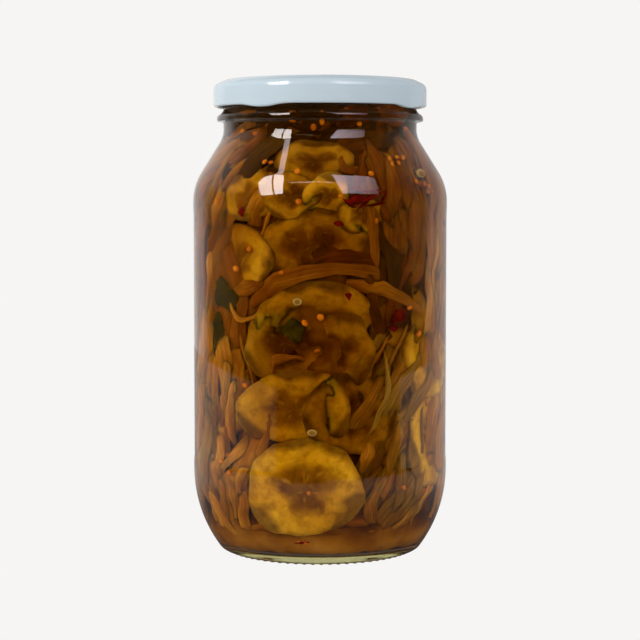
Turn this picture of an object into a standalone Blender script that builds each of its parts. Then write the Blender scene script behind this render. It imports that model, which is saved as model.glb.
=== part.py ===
"""A glass jar of sliced cucumber pickles, shut with a twist-off metal lid.

Metres, +Z up. The origin is the middle of the ring that the jar stands on, and the front faces -Y.
Three solids: the jar, the lid and the packed contents. Angles round the jar are in degrees from the
front, positive to the right as the front is looked at.
"""

import math
import random

import bmesh
import bpy
from mathutils import Vector

MM = 0.001
SIDES = 40
GAP = 0.3 * MM

# Jar, outside
JAR_HEIGHT = 183.4 * MM
FINISH_RADIUS = 38.6 * MM
RIM_ROUND = 1.3 * MM
NECK_RADIUS = 38.05 * MM
NECK_FOOT = 166.0 * MM
NECK_FILLET = 10.0 * MM
SHOULDER_TILT = 32.0
SHOULDER_ROUND = 22.0 * MM
SHOULDER_RADIUS = 50.1 * MM
PANEL_RADIUS = 50.0 * MM
PANEL_TOP = 132.5 * MM
PANEL_FOOT = 37.6 * MM
PANEL_STEP = 2.4 * MM
HEEL_RADIUS = 50.2 * MM
HEEL_ROUND = 52.0 * MM
HEEL_TILT = 36.0
FOOT_ROUND = 3.0 * MM
FOOT_WIDTH = 2.4 * MM
PUSH_UP = 2.2 * MM

# Transfer bead under the lid
BEAD_TOP = 173.3 * MM
BEAD_EDGE = 171.1 * MM
BEAD_TIP = 169.6 * MM
BEAD_FOOT = 168.85 * MM
BEAD_RADIUS = 40.65 * MM

# Thread ridges that the lid's lugs turn under
RIDGES = 4
RIDGE_REACH = 1.3 * MM
RIDGE_HEIGHT = 1.6 * MM
RIDGE_START = 179.4 * MM
RIDGE_DROP = 1.4 * MM
RIDGE_SPAN = 36.0
RIDGE_CUTS = 5

# Jar, inside
WALL = 2.7 * MM
FLOOR = 4.7 * MM
INNER_HEEL_ROUND = 46.0 * MM
INNER_FOOT_ROUND = 8.0 * MM

# Lid
LID_RADIUS = 41.9 * MM
LID_TOP = 185.2 * MM
LID_FOOT = 174.5 * MM
LID_ROUND = 3.0 * MM
LID_EDGE = 181.1 * MM
LID_SLOPE = 66.0
LID_SHEET = 0.5 * MM
CURL_ROUND = 0.9 * MM
RECESS_RADIUS = 33.6 * MM
RECESS_DEPTH = 1.5 * MM
RECESS_SLOPE = 1.0 * MM
LUGS = 4
LUG_ANGLE = -32.0
LUG_HALF_SPAN = 15.0
LUG_DROP = 1.1 * MM
LUG_REACH = 1.25 * MM
LUG_TOP = 176.6 * MM

# Contents
CLEAR = 0.6 * MM
CORE_SIDES = 24
CORE_RINGS = 8
CORE_DEPTH = 5.6 * MM
ROOT = 0.7 * MM
CORE_FOOT = 9.0 * MM
CORE_TOP = 170.0 * MM
HEAP_TOP = 175.0 * MM
SLICE_SIDES = 16
SLICE_LAYERS = 4
RIM_SHARE = 0.94
SLICE_BEND = 0.6
STRIP_CUTS = 5
SEED_RADIUS = 1.1 * MM
SEEDS = 16

# Cucumber slices that show at the front. Angle, height, width, height of the oval, roll, lean, depth
FRONT_SLICES = [
    (-6.7, 31.0, 43.0, 37.0, 8.0, 0.04, 0.6),
    (-9.0, 61.0, 45.0, 38.0, -6.0, 0.10, 1.2),
    (-16.0, 84.0, 41.0, 40.0, 12.0, 0.05, 1.0),
    (8.0, 85.0, 38.0, 38.0, -14.0, 0.12, 3.0),
    (-6.0, 121.0, 43.0, 33.0, 4.0, -0.08, 0.8),
    (-17.0, 141.0, 30.0, 26.0, 30.0, 0.10, 2.0),
    (4.0, 141.0, 27.0, 25.0, -10.0, -0.05, 0.8),
    (-4.0, 154.0, 30.0, 17.0, 0.0, 0.15, 1.4),
    (-42.0, 120.0, 34.0, 36.0, 20.0, 0.05, 1.0),
    (64.0, 46.0, 36.0, 38.0, 0.0, 0.05, 0.8),
    (66.0, 78.0, 38.0, 34.0, 15.0, 0.08, 1.4),
]

# Onion and cucumber strips that show at the front.
# Start angle and height, end angle and height, sideways bow, width, thickness, depth
FRONT_STRIPS = [
    (-37.0, 86.0, 32.0, 100.0, 15.0, 5.0, 3.0, 0.6),
    (-32.0, 103.0, 26.0, 104.0, 7.0, 4.0, 2.6, 1.2),
    (-22.0, 164.0, -45.0, 146.0, 2.0, 8.0, 3.0, 0.8),
    (-26.0, 158.0, -55.0, 138.0, 3.0, 6.5, 3.0, 1.6),
    (-50.0, 160.0, -62.0, 128.0, -3.0, 5.0, 2.6, 1.0),
    (23.0, 164.0, 41.0, 120.0, 3.0, 6.0, 2.6, 0.8),
    (34.0, 160.0, 57.0, 126.0, 4.0, 5.0, 2.4, 1.4),
    (27.0, 142.0, 30.0, 104.0, -3.0, 5.0, 2.6, 1.4),
    (48.0, 138.0, 37.0, 90.0, 4.0, 5.5, 2.6, 0.7),
    (61.0, 124.0, 48.0, 86.0, 3.0, 4.5, 2.4, 1.6),
    (72.0, 84.0, 27.0, 54.0, -5.0, 5.0, 2.6, 0.8),
    (68.0, 72.0, 25.0, 37.0, -5.0, 4.5, 2.6, 1.6),
    (62.0, 62.0, 32.0, 24.0, -4.0, 4.5, 2.4, 1.0),
    (45.0, 80.0, 18.0, 48.0, -3.0, 5.0, 2.8, 1.8),
    (52.0, 52.0, 40.0, 18.0, 3.0, 4.0, 2.4, 1.8),
    (33.0, 46.0, 29.0, 16.0, -2.0, 5.0, 2.8, 0.9),
    (-59.0, 80.0, -61.0, 44.0, 3.0, 5.0, 2.8, 0.8),
    (-47.0, 76.0, -53.0, 36.0, -3.0, 5.0, 2.8, 1.2),
    (-41.0, 66.0, -48.0, 20.0, 4.0, 4.5, 2.6, 1.8),
    (-66.0, 52.0, -44.0, 14.0, -4.0, 4.5, 2.4, 0.9),
    (-36.0, 47.0, -62.0, 32.0, 2.0, 4.0, 2.4, 1.4),
    (-58.0, 133.0, -60.0, 96.0, 3.0, 5.0, 2.6, 1.6),
    (-48.0, 102.0, -58.0, 84.0, -4.0, 5.0, 2.6, 0.9),
]

# The rest of the wall is packed by rule, past the angle to which the front's own pieces reach
FRONT_REACH = 78.0
SIDE_SLICE_HEIGHTS = [28.0, 60.0, 93.0, 124.0]
SIDE_SLICE_ANGLES = [105.0, 155.0, 205.0, 252.0]
SIDE_STRIPS = 12
SEED_OF_DRAWS = 8522
FLAT_ANGLE = 2.0


def arc(centre_r, centre_z, radius, start, end, steps):
    """Points (r, z) on a circle, both ends included. 0 degrees points away from the axis, 90 points up."""
    angles = [math.radians(start + (end - start) * i / steps) for i in range(steps + 1)]
    return [(centre_r + radius * math.cos(a), centre_z + radius * math.sin(a)) for a in angles]


def shoulder(inset, steps):
    """The neck's fillet, the sloping shoulder and its round, set in by the glass's thickness."""
    tilt = math.radians(SHOULDER_TILT)
    across = SHOULDER_RADIUS - NECK_RADIUS - (NECK_FILLET + SHOULDER_ROUND) * (1 - math.cos(tilt))
    slope = across / math.tan(tilt)
    foot = NECK_FOOT - (NECK_FILLET + SHOULDER_ROUND) * math.sin(tilt) - slope
    fillet, bulge = NECK_FILLET + inset, SHOULDER_ROUND - inset
    neck = arc(NECK_RADIUS - inset + fillet, NECK_FOOT, fillet, 180, 180 + SHOULDER_TILT, steps)
    body = arc(SHOULDER_RADIUS - inset - bulge, foot, bulge, SHOULDER_TILT, 0, steps)
    return neck + body


def heel(body_radius, heel_round, foot_round, foot_height, steps):
    """The long curve from the upright wall down to a flat foot."""
    tilt = math.radians(HEEL_TILT)
    end_r = body_radius - heel_round * (1 - math.cos(tilt))
    end_z = foot_height + foot_round * (1 - math.sin(tilt))
    long_curve = arc(body_radius - heel_round, end_z + heel_round * math.sin(tilt), heel_round,
                     0, -HEEL_TILT, steps)
    foot = arc(end_r - foot_round * math.cos(tilt), foot_height + foot_round, foot_round,
               -HEEL_TILT, -90, steps - 1)
    return long_curve + foot[1:]


def inside_profile():
    """The inner wall from the mouth down to the middle of the floor."""
    mouth = [(NECK_RADIUS - WALL, JAR_HEIGHT - RIM_ROUND)]
    wall = shoulder(WALL, 4)
    base = heel(SHOULDER_RADIUS - WALL, INNER_HEEL_ROUND, INNER_FOOT_ROUND, FLOOR, 4)
    return mouth + wall + base + [(0.0, FLOOR)]


def outside_profile():
    """The outer wall from the thread finish down to the middle of the push-up."""
    finish = [(FINISH_RADIUS, JAR_HEIGHT - RIM_ROUND), (FINISH_RADIUS - 0.5 * MM, BEAD_TOP)]
    bead = [
        (BEAD_RADIUS - 0.35 * MM, BEAD_EDGE),
        (BEAD_RADIUS, BEAD_TIP),
        (BEAD_RADIUS - 0.3 * MM, BEAD_FOOT),
        (NECK_RADIUS + 0.5 * MM, BEAD_FOOT - 0.2 * MM),
    ]
    panel = [
        (SHOULDER_RADIUS, PANEL_TOP + PANEL_STEP),
        (PANEL_RADIUS, PANEL_TOP),
        (PANEL_RADIUS, PANEL_FOOT),
        (HEEL_RADIUS, PANEL_FOOT - PANEL_STEP),
    ]
    base = heel(HEEL_RADIUS, HEEL_ROUND, FOOT_ROUND, 0.0, 4)
    ring = base[-1][0] - FOOT_WIDTH
    push_up = [(ring, 0.0), (ring - 1.5 * MM, 0.6 * PUSH_UP), (ring - 6 * MM, PUSH_UP), (0.0, PUSH_UP)]
    return finish + bead + shoulder(0.0, 4) + panel + base + push_up


def jar_profile():
    """Up the inside from the floor, over the rim, down the outside and in under the base."""
    mouth = NECK_RADIUS - WALL
    rim_z = JAR_HEIGHT - RIM_ROUND
    inner_round = arc(mouth + RIM_ROUND, rim_z, RIM_ROUND, 180, 90, 3)
    outer_round = arc(FINISH_RADIUS - RIM_ROUND, rim_z, RIM_ROUND, 90, 0, 3)
    return inside_profile()[:0:-1] + inner_round + outer_round + outside_profile()[1:]


def wall_radius(height):
    """The inner wall's radius at a height, read along its profile."""
    profile = inside_profile()
    for (upper_r, upper_z), (lower_r, lower_z) in zip(profile, profile[1:]):
        if lower_z <= height <= upper_z and upper_z > lower_z:
            share = (height - lower_z) / (upper_z - lower_z)
            return lower_r + (upper_r - lower_r) * share
    return profile[0][0]


def lid_profile():
    """Over the top from the middle of the recess, down the skirt, round the curl and back up inside."""
    floor = LID_TOP - RECESS_DEPTH
    inner = LID_RADIUS - LID_SHEET
    recess = [
        (0.0, floor),
        (RECESS_RADIUS - RECESS_SLOPE, floor),
        (RECESS_RADIUS - 0.4 * RECESS_SLOPE, floor + 0.3 * MM),
        (RECESS_RADIUS, LID_TOP - 0.3 * MM),
        (RECESS_RADIUS + 0.5 * RECESS_SLOPE, LID_TOP),
    ]
    slope = [(RECESS_RADIUS + 3.9 * MM, LID_TOP - 0.2 * MM)]
    top_edge = slope + arc(LID_RADIUS - LID_ROUND, LID_EDGE, LID_ROUND, LID_SLOPE, 0, 4)
    curl = arc(LID_RADIUS - CURL_ROUND, LID_FOOT + CURL_ROUND, CURL_ROUND, 0, -180, 4)
    inside = [
        (inner - 2 * CURL_ROUND + LID_SHEET, LID_FOOT + 2 * CURL_ROUND),
        (inner, LID_FOOT + 2.6 * CURL_ROUND),
        (inner, LID_EDGE),
        (inner - 0.75 * MM, LID_EDGE + 1.4 * MM),
        (inner - 2.9 * MM, JAR_HEIGHT + 0.5 * GAP),
        (inner - 3.6 * MM, JAR_HEIGHT + GAP),
        (RECESS_RADIUS + 0.6 * RECESS_SLOPE, JAR_HEIGHT + GAP),
        (RECESS_RADIUS - RECESS_SLOPE, floor - LID_SHEET),
        (0.0, floor - LID_SHEET),
    ]
    return recess + top_edge + curl + inside


def material(name, colour, roughness, metallic=0.0, transmission=0.0):
    """A Principled material for one sub-part."""
    made = bpy.data.materials.new(name)
    made.use_nodes = True
    shader = made.node_tree.nodes["Principled BSDF"]
    shader.inputs["Base Color"].default_value = (*colour, 1.0)
    shader.inputs["Roughness"].default_value = roughness
    shader.inputs["Metallic"].default_value = metallic
    shader.inputs["Transmission Weight"].default_value = transmission
    return made


def new_object(name, mesh, collection):
    """A named object that holds a mesh."""
    made = bpy.data.objects.new(name, mesh)
    collection.objects.link(made)
    return made


def turned(name, profile, sides, collection):
    """A solid of revolution, from a profile in the XZ plane turned about Z."""
    mesh = bpy.data.meshes.new(name)
    edges = [(i, i + 1) for i in range(len(profile) - 1)]
    mesh.from_pydata([(r, 0.0, z) for r, z in profile], edges, [])
    made = new_object(name, mesh, collection)
    screw = made.modifiers.new("turn", "SCREW")
    screw.axis = "Z"
    screw.steps = screw.render_steps = sides
    screw.use_merge_vertices = True
    screw.merge_threshold = 0.00001
    return made


def apply_modifiers(made):
    """Keep the evaluated shape as the object's own mesh."""
    bpy.context.view_layer.update()
    evaluated = made.evaluated_get(bpy.context.evaluated_depsgraph_get())
    made.data = bpy.data.meshes.new_from_object(evaluated)
    made.modifiers.clear()


def reshape(made, move):
    """Move every vertex of an object's mesh by a function of its place."""
    for vertex in made.data.vertices:
        vertex.co = move(vertex.co.copy())


def fuse(target, pieces, solver):
    """Join a collection of overlapping solids to the target and remove them."""
    union = target.modifiers.new("fuse", "BOOLEAN")
    union.operation = "UNION"
    union.operand_type = "COLLECTION"
    union.collection = pieces
    union.solver = solver
    apply_modifiers(target)
    for piece in list(pieces.objects):
        bpy.data.objects.remove(piece)
    bpy.data.collections.remove(pieces)


def shells(mesh):
    """The separate closed shells of a mesh, as lists of faces."""
    waiting = set(mesh.faces)
    found = []
    while waiting:
        shell, edge = [], [waiting.pop()]
        while edge:
            face = edge.pop()
            shell.append(face)
            for neighbour in {f for e in face.edges for f in e.link_faces}:
                if neighbour in waiting:
                    waiting.remove(neighbour)
                    edge.append(neighbour)
        found.append(shell)
    return found


def keep_largest_shell(made):
    """Drop loose scraps and fill sealed hollows, which are shells of their own."""
    mesh = bmesh.new()
    mesh.from_mesh(made.data)
    found = sorted(shells(mesh), key=len)
    scraps = [face for shell in found[:-1] for face in shell]
    bmesh.ops.delete(mesh, geom=scraps, context="FACES")
    bmesh.ops.dissolve_limit(mesh, angle_limit=math.radians(FLAT_ANGLE), verts=mesh.verts,
                             edges=mesh.edges)
    bmesh.ops.triangulate(mesh, faces=mesh.faces)
    mesh.to_mesh(made.data)
    mesh.free()


def shade(made, angle=35.0):
    """Smooth shading with crisp edges."""
    made.data.shade_smooth()
    made.data.set_sharp_from_angle(angle=math.radians(angle))


def on_circle(angle, radius, height):
    """The point at an angle from the front, a radius from the axis and a height."""
    turn = math.radians(angle)
    return Vector((radius * math.sin(turn), -radius * math.cos(turn), height))


def bar(name, cuts, collection):
    """A box one unit long along X, cut across its length, ready to be bent."""
    mesh = bmesh.new()
    bmesh.ops.create_cube(mesh, size=1.0)
    along = [e for e in mesh.edges if abs(e.verts[0].co.x - e.verts[1].co.x) > 0.5]
    bmesh.ops.subdivide_edges(mesh, edges=along, cuts=cuts, use_grid_fill=True)
    made = new_object(name, bpy.data.meshes.new(name), collection)
    mesh.to_mesh(made.data)
    mesh.free()
    return made


def into_jar(point, depth=0.0):
    """The nearest place inside the glass, at least the clearance and a depth away from it."""
    height = min(max(point.z, FLOOR + CLEAR), HEAP_TOP)
    limit = wall_radius(height) - CLEAR - depth
    radius = math.hypot(point.x, point.y)
    scale = min(1.0, limit / radius) if radius > 0 else 1.0
    return Vector((point.x * scale, point.y * scale, height))


def add_slice(name, place, draw, collection):
    """A cucumber slice: a thick three-lobed disc laid against the wall and bent part way to it."""
    angle, height, width, tall, roll, lean, depth = place
    height, width, tall, depth = height * MM, width * MM, tall * MM, depth * MM
    thick = max(draw.uniform(4.6, 5.6) * MM, CORE_DEPTH + ROOT - CLEAR - depth)
    lobes, turn = draw.uniform(0.03, 0.06), draw.uniform(0.0, 360.0)
    roll = math.radians(roll)
    centre_radius = wall_radius(height)
    flat_radius = math.sqrt(centre_radius**2 - (0.42 * width) ** 2)
    mesh = bmesh.new()
    bmesh.ops.create_uvsphere(mesh, u_segments=SLICE_SIDES, v_segments=SLICE_LAYERS, radius=1.0)
    made = new_object(name, bpy.data.meshes.new(name), collection)
    mesh.to_mesh(made.data)
    mesh.free()

    def laid(unit):
        around = math.atan2(unit.y, unit.x)
        reach = min(1.0, math.hypot(unit.x, unit.y) * RIM_SHARE * math.sqrt(2))
        reach *= 1 + lobes * math.cos(3 * around + math.radians(turn))
        layer = 0.5 - 0.5 * max(-1.0, min(1.0, unit.z * math.sqrt(2)))
        across = 0.5 * width * reach * math.cos(around + roll)
        up = 0.5 * tall * reach * math.sin(around + roll)
        inward = CLEAR + depth + thick * layer + lean * up
        bent = on_circle(angle + math.degrees(across / centre_radius),
                         wall_radius(height + up) - inward, height + up)
        ahead = on_circle(angle, 1.0, 0.0)
        right = on_circle(angle + 90.0, 1.0, 0.0)
        flat = ahead * (flat_radius - inward) + right * across + Vector((0, 0, height + up))
        return into_jar(flat.lerp(bent, SLICE_BEND))

    reshape(made, laid)


def add_strip(name, place, draw, collection):
    """An onion or cucumber strip: a flat bar bent along a path over the wall."""
    start, start_height, end, end_height, bow, width, thick, depth = place
    middle_radius = wall_radius(0.5 * (start_height + end_height) * MM)
    run = Vector((math.radians(end - start) * middle_radius, (end_height - start_height) * MM))
    across = Vector((-run.y, run.x)).normalized()
    twist = draw.uniform(-0.5, 0.5) * MM
    outer = CLEAR + depth * MM
    root = max(thick * MM, CORE_DEPTH + ROOT - outer)
    made = bar(name, STRIP_CUTS, collection)

    def laid(unit):
        along = unit.x + 0.5
        taper = 1 - 0.45 * (2 * along - 1) ** 4
        side = across * (bow * MM * math.sin(math.pi * along) + width * MM * taper * unit.y)
        place_on = run * along + side
        inward = outer + (root if unit.z < 0 else twist * (2 * along - 1))
        height = start_height * MM + place_on.y
        return into_jar(on_circle(start + math.degrees(place_on.x / middle_radius),
                                  wall_radius(height) - inward, height))

    reshape(made, laid)


def add_seed(name, draw, collection):
    """A mustard seed, half sunk in the core."""
    height = draw.uniform(CORE_FOOT + 6 * MM, CORE_TOP - 4 * MM)
    mesh = bmesh.new()
    bmesh.ops.create_icosphere(mesh, subdivisions=1, radius=SEED_RADIUS)
    made = new_object(name, bpy.data.meshes.new(name), collection)
    mesh.to_mesh(made.data)
    mesh.free()
    centre = on_circle(draw.uniform(-180, 180), wall_radius(height) - CORE_DEPTH, height)
    reshape(made, lambda point: point + centre)


def side_slices(draw):
    """Slices for the sides and the back, in rows of uneven height."""
    for row, angle in enumerate(SIDE_SLICE_ANGLES):
        for height in SIDE_SLICE_HEIGHTS:
            width = draw.uniform(34, 44)
            yield (angle + draw.uniform(-9, 9), height + draw.uniform(-5, 5) + 7 * (row % 2), width,
                   width * draw.uniform(0.84, 1.0), draw.uniform(-30, 30), draw.uniform(-0.05, 0.12),
                   draw.uniform(0.4, 1.8))


def side_strips(draw):
    """Strips for the sides, the back and the neck, between and over the slices."""
    for index in range(SIDE_STRIPS):
        angle = FRONT_REACH + (360 - 2 * FRONT_REACH) * (index + draw.random()) / SIDE_STRIPS
        height = draw.uniform(30, 150)
        rise = draw.uniform(-22, 22)
        turn = draw.uniform(14, 30) * draw.choice((-1, 1))
        yield (angle - turn, min(166, height + rise), angle + turn, max(12, height - rise),
               draw.uniform(-7, 7), draw.uniform(4.0, 6.0), draw.uniform(2.4, 3.0),
               draw.uniform(0.4, 1.4))


def make_jar(parts):
    """The glass: one turned body with the four thread ridges fused on."""
    jar = turned("glass_jar", jar_profile(), SIDES, parts)
    apply_modifiers(jar)
    ridges = bpy.data.collections.new("ridges")
    bpy.context.scene.collection.children.link(ridges)
    for index in range(RIDGES):
        ridge = bar(f"ridge_{index}", RIDGE_CUTS, ridges)
        start = LUG_ANGLE - 0.5 * RIDGE_SPAN + index * 360 / RIDGES

        def laid(unit, start=start):
            along = unit.x + 0.5
            proud = RIDGE_REACH * math.sin(math.pi * min(1.0, max(0.12, along * 0.9 + 0.05)))
            radius = FINISH_RADIUS + (proud if unit.z > 0 else -0.8 * MM)
            width = RIDGE_HEIGHT * (0.45 if unit.z > 0 else 1.0)
            return on_circle(start + RIDGE_SPAN * along, radius,
                             RIDGE_START - RIDGE_DROP * along + width * unit.y)

        reshape(ridge, laid)
    fuse(jar, ridges, "MANIFOLD")
    keep_largest_shell(jar)
    shade(jar)
    jar.data.materials.append(material("flint glass", (0.86, 0.90, 0.84), 0.05, transmission=0.9))


def make_lid(parts):
    """The lid: sheet steel with a rolled foot, pressed in and down into a lug at four places."""
    lid = turned("lid", lid_profile(), SIDES, parts)
    apply_modifiers(lid)

    def pressed(point):
        angle = math.degrees(math.atan2(point.x, -point.y))
        away = (angle - LUG_ANGLE + 180 / LUGS) % (360 / LUGS) - 180 / LUGS
        if point.z > LUG_TOP or abs(away) > LUG_HALF_SPAN:
            return point
        press = 0.5 + 0.5 * math.cos(math.pi * away / LUG_HALF_SPAN)
        radius = math.hypot(point.x, point.y)
        inner = 1.0 if radius < LID_RADIUS - CURL_ROUND else 0.0
        low = (LUG_TOP - point.z) / (LUG_TOP - LID_FOOT)
        scale = (radius - LUG_REACH * press * inner) / radius
        return Vector((point.x * scale, point.y * scale, point.z - LUG_DROP * press * low))

    reshape(lid, pressed)
    shade(lid)
    lid.data.materials.append(material("white enamelled tinplate", (0.55, 0.64, 0.68), 0.25))


def make_contents(parts):
    """The packed pickles: a core with the slices, strips and seeds that show fused on."""
    draw = random.Random(SEED_OF_DRAWS)
    heights = [CORE_TOP + (CORE_FOOT - CORE_TOP) * i / CORE_RINGS for i in range(CORE_RINGS + 1)]
    wall = [(wall_radius(z) - CORE_DEPTH, z) for z in heights]
    contents = turned("pickle_heap", [(0.0, CORE_TOP)] + wall + [(0.0, CORE_FOOT)], CORE_SIDES, parts)
    pieces = bpy.data.collections.new("pieces")
    bpy.context.scene.collection.children.link(pieces)
    for index, place in enumerate(FRONT_SLICES + list(side_slices(draw))):
        add_slice(f"slice_{index}", place, draw, pieces)
    for index, place in enumerate(FRONT_STRIPS + list(side_strips(draw))):
        add_strip(f"strip_{index}", place, draw, pieces)
    for index in range(SEEDS):
        add_seed(f"seed_{index}", draw, pieces)
    fuse(contents, pieces, "MANIFOLD")
    keep_largest_shell(contents)
    shade(contents, 50.0)
    contents.data.materials.append(material("pickled cucumber", (0.36, 0.19, 0.03), 0.45))


def main():
    for old in list(bpy.data.objects):
        bpy.data.objects.remove(old)
    parts = bpy.data.collections.new("pickle_jar")
    bpy.context.scene.collection.children.link(parts)
    make_jar(parts)
    make_lid(parts)
    make_contents(parts)


main()
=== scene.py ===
# %% [markdown]
# # A glass jar of sliced cucumber pickles
# The jar stands on a pale table with its lid on: cucumber slices, onion strips and mustard seeds in
# brown brine, seen through clear glass. The CAD model gives the sizes. This lesson makes each piece
# again with the detail that the eye wants, and lays it over the CAD solid that it stands for.

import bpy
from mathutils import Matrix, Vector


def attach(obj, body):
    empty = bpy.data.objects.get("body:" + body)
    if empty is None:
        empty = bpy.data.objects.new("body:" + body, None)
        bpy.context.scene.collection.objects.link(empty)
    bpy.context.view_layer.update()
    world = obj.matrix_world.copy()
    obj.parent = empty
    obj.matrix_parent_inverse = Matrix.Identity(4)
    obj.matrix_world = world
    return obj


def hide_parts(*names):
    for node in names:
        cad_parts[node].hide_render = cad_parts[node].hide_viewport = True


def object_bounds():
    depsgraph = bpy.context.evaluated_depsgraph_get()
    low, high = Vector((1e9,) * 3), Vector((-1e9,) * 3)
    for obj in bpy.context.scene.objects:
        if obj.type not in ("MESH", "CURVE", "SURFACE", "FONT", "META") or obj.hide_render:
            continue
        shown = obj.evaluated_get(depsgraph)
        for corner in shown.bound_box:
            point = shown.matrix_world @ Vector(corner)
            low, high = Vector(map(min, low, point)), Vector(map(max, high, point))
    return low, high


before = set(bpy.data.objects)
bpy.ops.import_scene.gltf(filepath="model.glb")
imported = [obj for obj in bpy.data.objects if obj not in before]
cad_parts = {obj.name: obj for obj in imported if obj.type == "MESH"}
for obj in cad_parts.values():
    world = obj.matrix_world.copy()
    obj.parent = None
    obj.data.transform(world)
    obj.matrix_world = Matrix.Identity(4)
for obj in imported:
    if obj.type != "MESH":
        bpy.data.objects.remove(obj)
cad_low, cad_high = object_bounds()
print("CAD box", [round(1000 * v, 1) for v in (*cad_low, *cad_high)], "mm")

# %% [markdown]
# Blender works in metres and a jar is drawn in millimetres, so one helper turns one into the other.
# Angles round the jar are in degrees from the front, positive to the right as the front is seen.
# Every random draw comes from one seeded source, so the jar is packed the same way on each run.
# A primitive is added with nothing else selected, because an operator acts on all that is selected.

# %% Imports and small helpers
import bisect
import math
import random

import bpy
from mathutils import Vector

draw = random.Random(8522)
WIDEST, HIGHEST = round(1000 * cad_high[0], 1), round(1000 * cad_high[2], 1)
print("the jar is", 2 * WIDEST, "mm across and", HIGHEST, "mm tall")


def mm(value):
    """Millimetres to metres."""
    return value * 0.001


def on_circle(angle, radius, height):
    """The point at an angle from the front, a radius from the axis and a height."""
    turn = math.radians(angle)
    return Vector((radius * math.sin(turn), -radius * math.cos(turn), height))


def angle_of(point):
    """Degrees from the front of a point, positive to the right."""
    return math.degrees(math.atan2(point.x, -point.y))


def new_piece(name, add_primitive, **sizes):
    """Deselect everything, add one primitive and name it."""
    bpy.ops.object.select_all(action="DESELECT")
    add_primitive(**sizes)
    piece = bpy.context.object
    piece.name = piece.data.name = name
    return piece


def take(piece):
    """Leave edit mode and make a piece the only one selected."""
    if bpy.context.mode != "OBJECT":
        bpy.ops.object.mode_set(mode="OBJECT")
    bpy.ops.object.select_all(action="DESELECT")
    piece.select_set(True)
    bpy.context.view_layer.objects.active = piece


def triangles(piece):
    """How many triangles a piece has."""
    return sum(len(face.vertices) - 2 for face in piece.data.polygons)


# %% [markdown]
# A glass jar is blown in a mould that is round all the way, so a half outline tells its whole form.
# The outline is made of arcs and straight runs: the neck's fillet, the sloping shoulder, the upright
# wall with its shallow label panel, the long heel curve and the foot ring. The inner wall is the same
# curve moved in by the glass's thickness, and `reach` pushes it back out for the brine. Where the wall
# is widest it has the radius of the CAD model.

# %% Sizes of the jar's outline, in millimetres
NECK_RADIUS, NECK_FOOT, NECK_FILLET = 38.05, 166.0, 10.0
SHOULDER_RADIUS, SHOULDER_ROUND, SHOULDER_TILT = 50.1, 22.0, 32.0
PANEL_RADIUS, PANEL_TOP, PANEL_FOOT, PANEL_STEP = 50.0, 132.5, 37.6, 2.4
HEEL_RADIUS, HEEL_ROUND, HEEL_TILT, FOOT_ROUND, FOOT_WIDTH = WIDEST, 52.0, 36.0, 3.0, 2.4
JAR_HEIGHT, FINISH_RADIUS, RIM_ROUND = 183.4, 38.6, 1.3
BEAD_TOP, BEAD_EDGE, BEAD_TIP, BEAD_FOOT, BEAD_RADIUS = 173.3, 171.1, 169.6, 168.85, 40.65
WALL, FLOOR, PUSH_UP = 2.7, 4.7, 2.2
INNER_HEEL_ROUND, INNER_FOOT_ROUND = 46.0, 8.0
CURVE_STEPS = 14
print("the glass is", WALL, "mm thick and its floor", FLOOR, "mm")

# %% [markdown]
# The shoulder is two arcs with a straight slope between them, and the heel is one long arc that ends in
# the small round of the foot. The outer and the inner wall share both, each with its own sizes. The
# finished inner wall then tells everything else how wide the jar is inside at a height.

# %% Curves of the outline
def arc(centre_r, centre_z, radius, start, end, steps=CURVE_STEPS):
    """Points (r, z) on a circle. 0 degrees points away from the axis and 90 points up."""
    angles = [math.radians(start + (end - start) * i / steps) for i in range(steps + 1)]
    return [(centre_r + radius * math.cos(a), centre_z + radius * math.sin(a)) for a in angles]


def shoulder(inset):
    """The neck's fillet, the slope and the shoulder's round, set in by a thickness."""
    tilt = math.radians(SHOULDER_TILT)
    across = SHOULDER_RADIUS - NECK_RADIUS - (NECK_FILLET + SHOULDER_ROUND) * (1 - math.cos(tilt))
    foot = NECK_FOOT - (NECK_FILLET + SHOULDER_ROUND) * math.sin(tilt) - across / math.tan(tilt)
    fillet, bulge = NECK_FILLET + inset, SHOULDER_ROUND - inset
    neck = arc(NECK_RADIUS - inset + fillet, NECK_FOOT, fillet, 180, 180 + SHOULDER_TILT)
    return neck + arc(SHOULDER_RADIUS - inset - bulge, foot, bulge, SHOULDER_TILT, 0)


def heel(body_radius, heel_round, foot_round, foot_height):
    """The long curve from the upright wall down to a flat foot."""
    tilt = math.radians(HEEL_TILT)
    end_r = body_radius - heel_round * (1 - math.cos(tilt))
    end_z = foot_height + foot_round * (1 - math.sin(tilt))
    middle = end_z + heel_round * math.sin(tilt)
    long_curve = arc(body_radius - heel_round, middle, heel_round, 0, -HEEL_TILT, 20)
    foot_r = end_r - foot_round * math.cos(tilt)
    return long_curve + arc(foot_r, foot_height + foot_round, foot_round, -HEEL_TILT, -90, 9)[1:]


def inner_wall(reach=0.0):
    """The inner wall from the neck down to the edge of the floor, pushed out by a reach."""
    body = SHOULDER_RADIUS - WALL + reach
    foot = heel(body, INNER_HEEL_ROUND + reach, INNER_FOOT_ROUND + reach, FLOOR - reach)
    return shoulder(WALL - reach) + foot


inside = inner_wall()
inside_heights = [z for r, z in reversed(inside)]
inside_radii = [r for r, z in reversed(inside)]


def wall_radius(height):
    """The inner wall's radius at a height, both in millimetres."""
    if height >= inside_heights[-1]:
        return inside_radii[-1]
    if height <= inside_heights[0]:
        return inside_radii[0]
    i = bisect.bisect_right(inside_heights, height)
    share = (height - inside_heights[i - 1]) / (inside_heights[i] - inside_heights[i - 1])
    return inside_radii[i - 1] + share * (inside_radii[i] - inside_radii[i - 1])


print("inner wall:", len(inside), "points, radius at 100 mm is", round(wall_radius(100), 2), "mm")

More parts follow.
